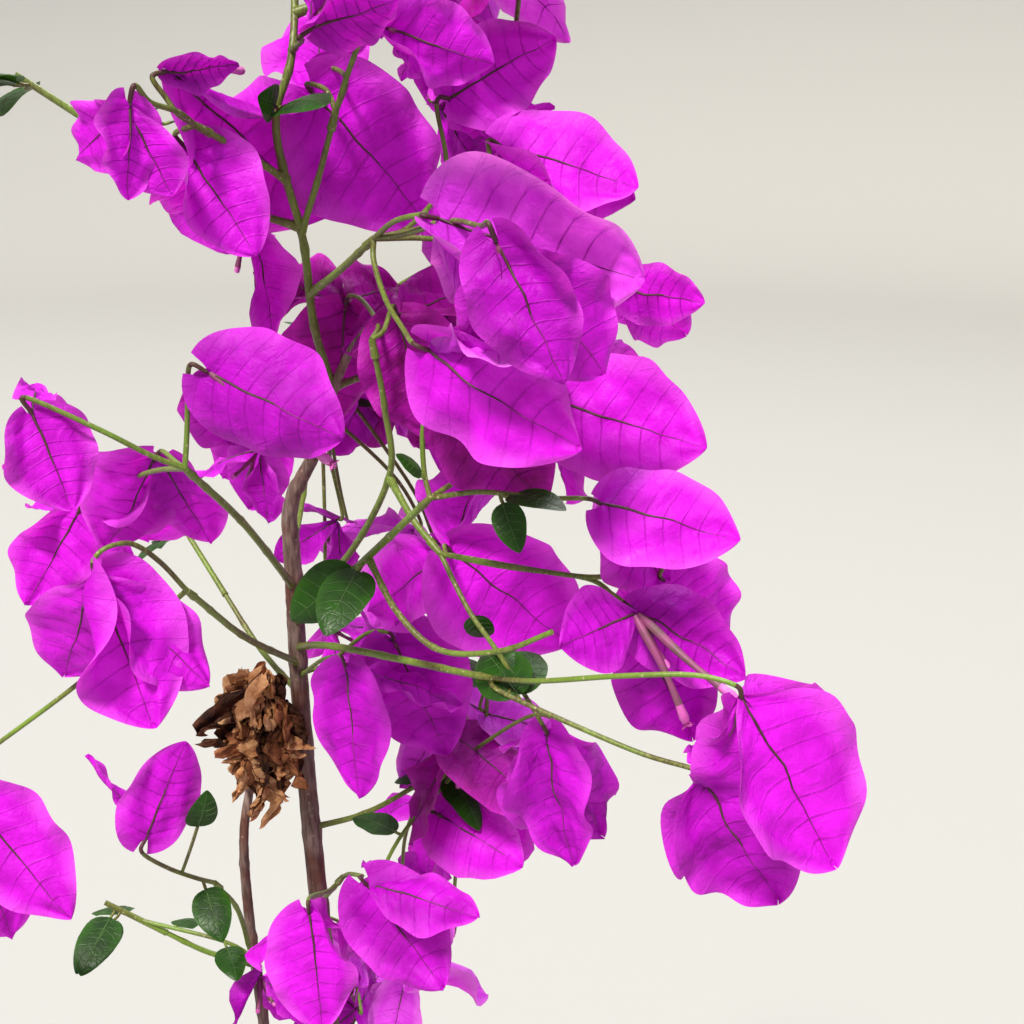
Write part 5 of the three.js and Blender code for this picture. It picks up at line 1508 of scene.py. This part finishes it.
def bract_paper(name, main, shade, light, vein):
    """A bougainvillea bract, thin as tissue: matt, lit through by whatever is behind it, mottled over about 9
    mm, a little paler along its edge as a painted highlight, with darker side veins and a net of fine ones 2
    mm apart."""
    made, tree, where = blank_material(name)
    t, edge = on_blade(tree)
    mottle = add(tree, "TexNoise", {"Vector": where, "Scale": per_mm(9), "Detail": 3})
    grain = add(tree, "TexNoise", {"Vector": where, "Scale": per_mm(0.5), "Detail": 2})
    pucker = add(tree, "TexNoise", {"Vector": where, "Scale": per_mm(4.5), "Detail": 4, "Distortion": 1.2})
    stir = add(tree, "TexNoise", {"Vector": where, "Scale": per_mm(2.5)}, "Color")
    stirred = add(tree, "Mix", {0: 0.0012, 6: where, 7: stir}, 2, data_type="RGBA", blend_type="ADD")
    cells = {"Vector": stirred, "Scale": per_mm(2.1)}
    net = add(tree, "TexVoronoi", cells, feature="DISTANCE_TO_EDGE")
    wander = add(tree, "Math", (mottle, 0.03, -0.015), operation="MULTIPLY_ADD")
    ribs = side_veins(tree, add(tree, "Math", (t, wander), operation="ADD"), edge)
    fade = add(tree, "MapRange", (edge, 0.05, 0.7, 0.46, 0.08))
    patches = add(tree, "MapRange", (pucker, 0.4, 0.62, 0.35, 1))
    patchy = add(tree, "Math", (fade, patches), operation="MULTIPLY")
    shown_ribs = add(tree, "Math", (ribs, patchy), operation="MULTIPLY")
    # Over the mottle: the light colour towards the edge as a painted highlight, a darker base, and the veins.
    base = painted(
        tree, main, (mottle, 0.36, 0.72, 0, 1, shade), (edge, 0.6, 1, 0, 0.42, light),
        (t, 0, 0.16, 0.5, 0, shade), (net, 0, 0.09, 0.05, 0, vein), (shown_ribs, 0, 1, 0, 1, vein),
    )
    rough = add(tree, "MapRange", (mottle, 0.3, 0.7, 0.46, 0.64))
    skin = add(tree, "BsdfPrincipled",
        {"Base Color": base, "Roughness": rough, "IOR": 1.4, "Specular IOR Level": 0.3})
    warm = {0: 1, 6: base, 7: colour("#ffffe0")}
    warm = add(tree, "Mix", warm, 2, data_type="RGBA", blend_type="MULTIPLY")
    through = add(tree, "BsdfTranslucent", {"Color": warm})
    both = add(tree, "MixShader", (0.36, skin, through))
    height = add(tree, "Math", (grain, 0.2, pucker), operation="MULTIPLY_ADD")
    height = add(tree, "Math", (ribs, 0.14, height), operation="MULTIPLY_ADD")
    return finished(made, both, height, 0.6)


def leafy(name, main, shade, light):
    """Leaf tissue: a cuticle with some gloss, mottled, lit through a little, quilted in cells of 2.4 mm."""
    made, tree, where = blank_material(name)
    edge = on_blade(tree)[1]
    mottle = add(tree, "TexNoise", {"Vector": where, "Scale": per_mm(6), "Detail": 4})
    cells = {"Vector": where, "Scale": per_mm(2.4)}
    net = add(tree, "TexVoronoi", cells, feature="DISTANCE_TO_EDGE")
    base = painted(tree, main, (mottle, 0.35, 0.68, 0, 1, shade), (edge, 0.6, 1, 0, 0.3, light))
    rough = add(tree, "MapRange", (mottle, 0.3, 0.7, 0.32, 0.5))
    skin = add(tree, "BsdfPrincipled",
        {"Base Color": base, "Roughness": rough, "IOR": 1.4, "Specular IOR Level": 0.35})
    both = add(tree, "MixShader", (0.12, skin, add(tree, "BsdfTranslucent", {"Color": colour(light)})))
    return finished(made, both, add(tree, "MapRange", (net, 0, 0.12, 0, 1)), 0.05)


def plain_living(name, main, shade, rough, size=3):
    """Smooth living tissue, such as a vein or a flower tube: two near colours, softly mixed."""
    made, tree, where = blank_material(name)
    mottle = add(tree, "TexNoise", {"Vector": where, "Scale": per_mm(size), "Detail": 3})
    grain = add(tree, "TexNoise", {"Vector": where, "Scale": per_mm(0.4), "Detail": 2})
    base = painted(tree, main, (mottle, 0.38, 0.64, 0, 1, shade))
    skin = add(tree, "BsdfPrincipled", {"Base Color": base, "Roughness": rough, "IOR": 1.45})
    return finished(made, skin, grain, 0.05)


def green_shoot(name):
    """A young green stem: olive to bright green, browned in places, with pale pores and fine ribs."""
    made, tree, where = blank_material(name)
    patches = add(tree, "TexNoise", {"Vector": where, "Scale": per_mm(28), "Detail": 3})
    ribs = add(tree, "Mapping", {"Vector": where, "Scale": (1, 1, 0.08)})
    streaks = add(tree, "TexNoise", {"Vector": ribs, "Scale": per_mm(0.7), "Detail": 3})
    pores = add(tree, "TexVoronoi", {"Vector": where, "Scale": per_mm(2.2)})
    base = painted(
        tree, "#66842a", (patches, 0.4, 0.62, 0, 1, "#514b24"), (streaks, 0.4, 0.7, 0, 0.5, "#869a42"),
        (pores, 0.1, 0.2, 0.55, 0, "#bbb288"),
    )
    skin = add(tree, "BsdfPrincipled", {"Base Color": base, "Roughness": 0.42, "IOR": 1.45})
    return finished(made, skin, streaks, 0.12)


def woody(name):
    """Young bougainvillea bark: thin, reddish brown, greying in streaks along the stem, with corky pores."""
    made, tree, where = blank_material(name)
    along = add(tree, "Mapping", {"Vector": where, "Scale": (1, 1, 0.12)})
    fibre = add(tree, "TexNoise", {"Vector": along, "Scale": per_mm(0.9), "Detail": 5})
    patches = add(tree, "TexNoise", {"Vector": where, "Scale": per_mm(14), "Detail": 4})
    pores = add(tree, "TexVoronoi", {"Vector": where, "Scale": per_mm(3)})
    base = painted(
        tree, "#6b4234", (patches, 0.38, 0.62, 0, 1, "#8d7a6f"), (fibre, 0.35, 0.62, 0.75, 0, "#3d241d"),
        (pores, 0.08, 0.16, 0.5, 0, "#b8a28e"),
    )
    return finished(made, add(tree, "BsdfPrincipled", {"Base Color": base, "Roughness": 0.72}), fibre, 0.35)


def withered(name, main, shade):
    """A dead leaf: papery, dull, blotched brown over about 4 mm and creased."""
    made, tree, where = blank_material(name)
    blotch = add(tree, "TexNoise", {"Vector": where, "Scale": per_mm(4), "Detail": 5})
    crease = {"Vector": where, "Scale": per_mm(2.6)}
    crease = add(tree, "TexVoronoi", crease, feature="DISTANCE_TO_EDGE")
    base = painted(tree, main, (blotch, 0.36, 0.66, 0, 1, shade))
    skin = add(tree, "BsdfPrincipled", {"Base Color": base, "Roughness": 0.78, "Specular IOR Level": 0.25})
    both = add(tree, "MixShader", (0.22, skin, add(tree, "BsdfTranslucent", {"Color": base})))
    return finished(made, both, add(tree, "MapRange", (crease, 0, 0.2, 0, 1)), 0.25)


def moulded_polypropylene(name):
    """A blow-moulded nursery pot: near black, satin, with the fine pebble of the mould and a dusty bloom."""
    made, tree, where = blank_material(name)
    dust = add(tree, "TexNoise", {"Vector": where, "Scale": per_mm(34), "Detail": 6, "Roughness": 0.65})
    pebble = add(tree, "TexNoise", {"Vector": where, "Scale": per_mm(0.8), "Detail": 2})
    base = painted(tree, "#1b1d22", (dust, 0.42, 0.75, 0, 1, "#3a3936"))
    rough = add(tree, "MapRange", (dust, 0.35, 0.7, 0.34, 0.6))
    skin = add(tree, "BsdfPrincipled", {"Base Color": base, "Roughness": rough, "IOR": 1.49})
    return finished(made, skin, pebble, 0.05)


def earthy(name, main, shade, size, rough=0.95, relief=0.4):
    """Peat, bark chips or perlite: a dull broken surface in two near colours."""
    made, tree, where = blank_material(name)
    broken = add(tree, "TexNoise", {"Vector": where, "Scale": per_mm(size), "Detail": 5, "Roughness": 0.7})
    base = painted(tree, main, (broken, 0.38, 0.62, 0, 1, shade))
    skin = add(tree, "BsdfPrincipled", {"Base Color": base, "Roughness": rough, "Specular IOR Level": 0.2})
    return finished(made, skin, broken, relief)


def floor_paint(name):
    """Matt grey paint on a studio floor, even all over."""
    made, tree, _ = blank_material(name)
    paint = {"Base Color": colour("#9e9e9c"), "Roughness": 0.9, "Specular IOR Level": 0.2}
    return finished(made, add(tree, "BsdfPrincipled", paint))


# Building the plant

for limb in LIMBS:
    make_limb(**{**limb, "route": [seen(place) for place in limb["route"]]})
for place in spiral_places():
    make_spiral_limb(**place)
for number, limb in enumerate(limbs.values()):
    draw_limb(limb, number)

masses = [seen_mass(**mass) for mass in SEEN_MASSES]
for place in spiral_places():
    number = place["number"]
    masses.append(grown_mass(f"mass_{number:02d}", limbs[f"bough_{number:02d}"], **place))
masses.append(grown_mass("mass_crown_top", limbs["leader"], **CROWN_TOP))
mass_lines = [draw_mass(mass, seed + 1) for seed, mass in enumerate(masses)]
front = Solid(["withered_clump", *[mass["name"] for mass in masses if mass["near"]]])
for mass, lines in zip(masses, mass_lines):
    if not mass["near"]:
        fill_mass(mass, lines, front)
draw_clump()
make_pot()
make_mix()
make_crumbs()

# The pieces: each finish's pile as joined meshes, with its material, a slot name and the nodes
# that it stands for.

STEMS = ["trunk", "side_stem", "cut_spur"]
BOUGHS = [name for name in limbs if name not in STEMS]
MASSES = [mass["name"] for mass in masses]
# Each tint: its main colour, a darker tone for its mottle and base, the paler colour of the painted highlight
# along its edge, and the colour of its veins.
PAPERS = dict(
    bright=("#e61cf4", "#c40ece", "#fa70fd", "#8c0a7c"),
    mid=("#d012de", "#a208ac", "#ee50f4", "#7a086c"),
    deep=("#b40ab0", "#80046e", "#d834d0", "#5e0450"),
    pale=("#e84cf6", "#cc28de", "#ffa0ff", "#9c1490"),
)
PIECES = [
    ("bracts_and_leaves", MASSES, dict(
        **{f"bracts_{tint}": bract_paper(f"bract_{tint}", *shades) for tint, shades in PAPERS.items()},
        midribs=plain_living("bract_midrib", "#4a3423", "#471b2e", 0.55),
        veins=plain_living("bract_vein", "#861078", "#6a0c5e", 0.55),
        green_stalks=green_shoot("young_stalk"),
        leaves=leafy("leaf_tissue", "#214b0c", "#123008", "#3a6a1c"),
        leaf_veins=plain_living("leaf_vein", "#42622c", "#345022", 0.5),
        flower_tubes=plain_living("flower_tube", "#8a3c6c", "#64464a", 0.5, 5),
        flower_mouths=plain_living("flower_mouth", "#e07ccc", "#b84c9e", 0.55),
    )),
    ("green_bark", BOUGHS, dict(green_bark=green_shoot("green_shoot_bark"))),
    ("woody_bark", STEMS, dict(woody_bark=woody("young_bougainvillea_bark"))),
    ("withered_leaves", ["withered_clump"], dict(
        withered_tan=withered("withered_leaf_tan", "#e0b07e", "#b67c4a"),
        withered_brown=withered("withered_leaf_brown", "#b0744a", "#724628"),
        withered_dark=withered("withered_leaf_dark", "#5c3620", "#2a1810"),
    )),
    ("pot_plastic", ["pot"], dict(pot_plastic=moulded_polypropylene("moulded_polypropylene"))),
    ("potting_mix", ["potting_mix"], dict(
        potting_mix=earthy("peat_mix", "#38281d", "#1f1611", 2.5),
        bark_chips=earthy("composted_bark", "#6a452c", "#33211a", 1.6),
        peat_crumbs=earthy("peat_crumb", "#443022", "#261a13", 0.8),
        perlite=earthy("expanded_perlite", "#e9e6df", "#bdb8ad", 0.7, 0.9, 0.15),
    )),
]


def join(name, entries):
    """One mesh from a list of (places, faces, blade coordinates)."""
    counts = np.cumsum([0] + [len(places) for places, _, _ in entries])
    places = np.vstack([places for places, _, _ in entries]) * MM
    rounds = [faces + start for (_, faces, _), start in zip(entries, counts)]
    corners = np.concatenate([faces.ravel() for faces in rounds])
    sizes = np.concatenate([np.full(len(faces), faces.shape[1]) for faces in rounds])
    mesh = bpy.data.meshes.new(name)
    mesh.vertices.add(len(places))
    mesh.vertices.foreach_set("co", places.astype(np.float32).ravel())
    mesh.loops.add(len(corners))
    mesh.loops.foreach_set("vertex_index", corners.astype(np.int32))
    mesh.polygons.add(len(sizes))
    mesh.polygons.foreach_set("loop_start", (np.cumsum(sizes) - sizes).astype(np.int32))
    if entries[0][2] is not None:
        blade = np.vstack([blade for _, _, blade in entries])
        layer = mesh.uv_layers.new(name="blade")
        layer.uv.foreach_set("vector", blade[corners].astype(np.float32).ravel())
    mesh.update(calc_edges=True)
    mesh.validate()
    mesh.shade_smooth()
    made = bpy.data.objects.new(name, mesh)
    bpy.context.scene.collection.objects.link(made)
    return made


def batches(entries):
    """Splits a pile into lists of entries with about PIECE_LIMIT triangles at most."""
    batch, size = [], 0
    for entry in entries:
        batch.append(entry)
        size += len(entry[1]) * (entry[1].shape[1] - 2)
        if size > PIECE_LIMIT:
            yield batch
            batch, size = [], 0
    if batch:
        yield batch


SHARP = [kind["finish"] for kind in CRUMBS]
for slot, nodes, materials in PIECES:
    for finish, material in materials.items():
        for number, batch in enumerate(batches(piles.pop(finish))):
            piece = join(f"{finish}_{number}" if number else finish, batch)
            piece.data.materials.append(material)
            if finish in SHARP:
                piece.data.shade_flat()
            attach(piece, "root")
            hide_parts(*nodes)
assert not piles, f"no material for {list(piles)}"

# Camera, light and floor

camera = bpy.data.objects.new("camera", bpy.data.cameras.new("camera"))
camera.data.sensor_width = 36
camera.data.lens = 36 * SIGHT.focal / SIGHT.side
camera.data.clip_start, camera.data.clip_end = 0.01, 60
camera.location = (SIGHT.right * MM, -SIGHT.front * MM, SIGHT.height * MM)
camera.rotation_euler = (math.radians(90 - SIGHT.down), 0, 0)
bpy.context.scene.collection.objects.link(camera)
bpy.context.scene.camera = camera


def soft_light(name, place, spread, strength, tint):
    """A far, wide source that shines evenly from a place towards the plant: its spread is in degrees."""
    light = bpy.data.lights.new(name, "SUN")
    light.angle, light.energy = math.radians(spread), strength
    light.color = colour(tint)[:3]
    made = bpy.data.objects.new(name, light)
    made.rotation_euler = (-Vector(place)).to_track_quat("-Z", "Y").to_euler()
    bpy.context.scene.collection.objects.link(made)


soft_light("key", (-0.9, -1.6, 3.0), 10, 5.2, "#fff8ee")
soft_light("fill", (2.4, -1.4, 0.9), 60, 0.9, "#eaf1ff")
soft_light("rim", (0.6, 2.2, 2.6), 30, 2.6, "#ffffff")

world = bpy.data.worlds.new("studio")
world.use_nodes = True
world.node_tree.nodes["Background"].inputs["Color"].default_value = colour("#eef1f4")
world.node_tree.nodes["Background"].inputs["Strength"].default_value = 0.64
bpy.context.scene.world = world
bpy.context.scene.view_settings.view_transform = "Standard"
bpy.context.scene.view_settings.look = "None"

# The floor turns up into a wall all round, well outside every view of the plant.
FLOOR = Sizes(flat=5.0, turn=2.0, wall=4.5, sides=96, steps=16)
sweep = [(0.0, 0.0), (0.4, 0.0), (FLOOR.flat, 0.0)]
for k in range(1, FLOOR.steps + 1):
    a = math.pi / 2 * k / FLOOR.steps
    sweep.append((FLOOR.flat + FLOOR.turn * math.sin(a), FLOOR.turn * (1 - math.cos(a))))
sweep = np.array(sweep + [(FLOOR.flat + FLOOR.turn, FLOOR.wall)]) / MM
angles = np.arange(FLOOR.sides) / FLOOR.sides * FULL_TURN
rows = [np.stack([r * np.cos(angles), r * np.sin(angles), np.full(len(angles), z)], 1) for r, z in sweep]
floor = join("floor", [(np.vstack(rows), grid_faces(len(sweep), FLOOR.sides, around=True), None)])
floor.data.materials.append(floor_paint("painted_floor"))
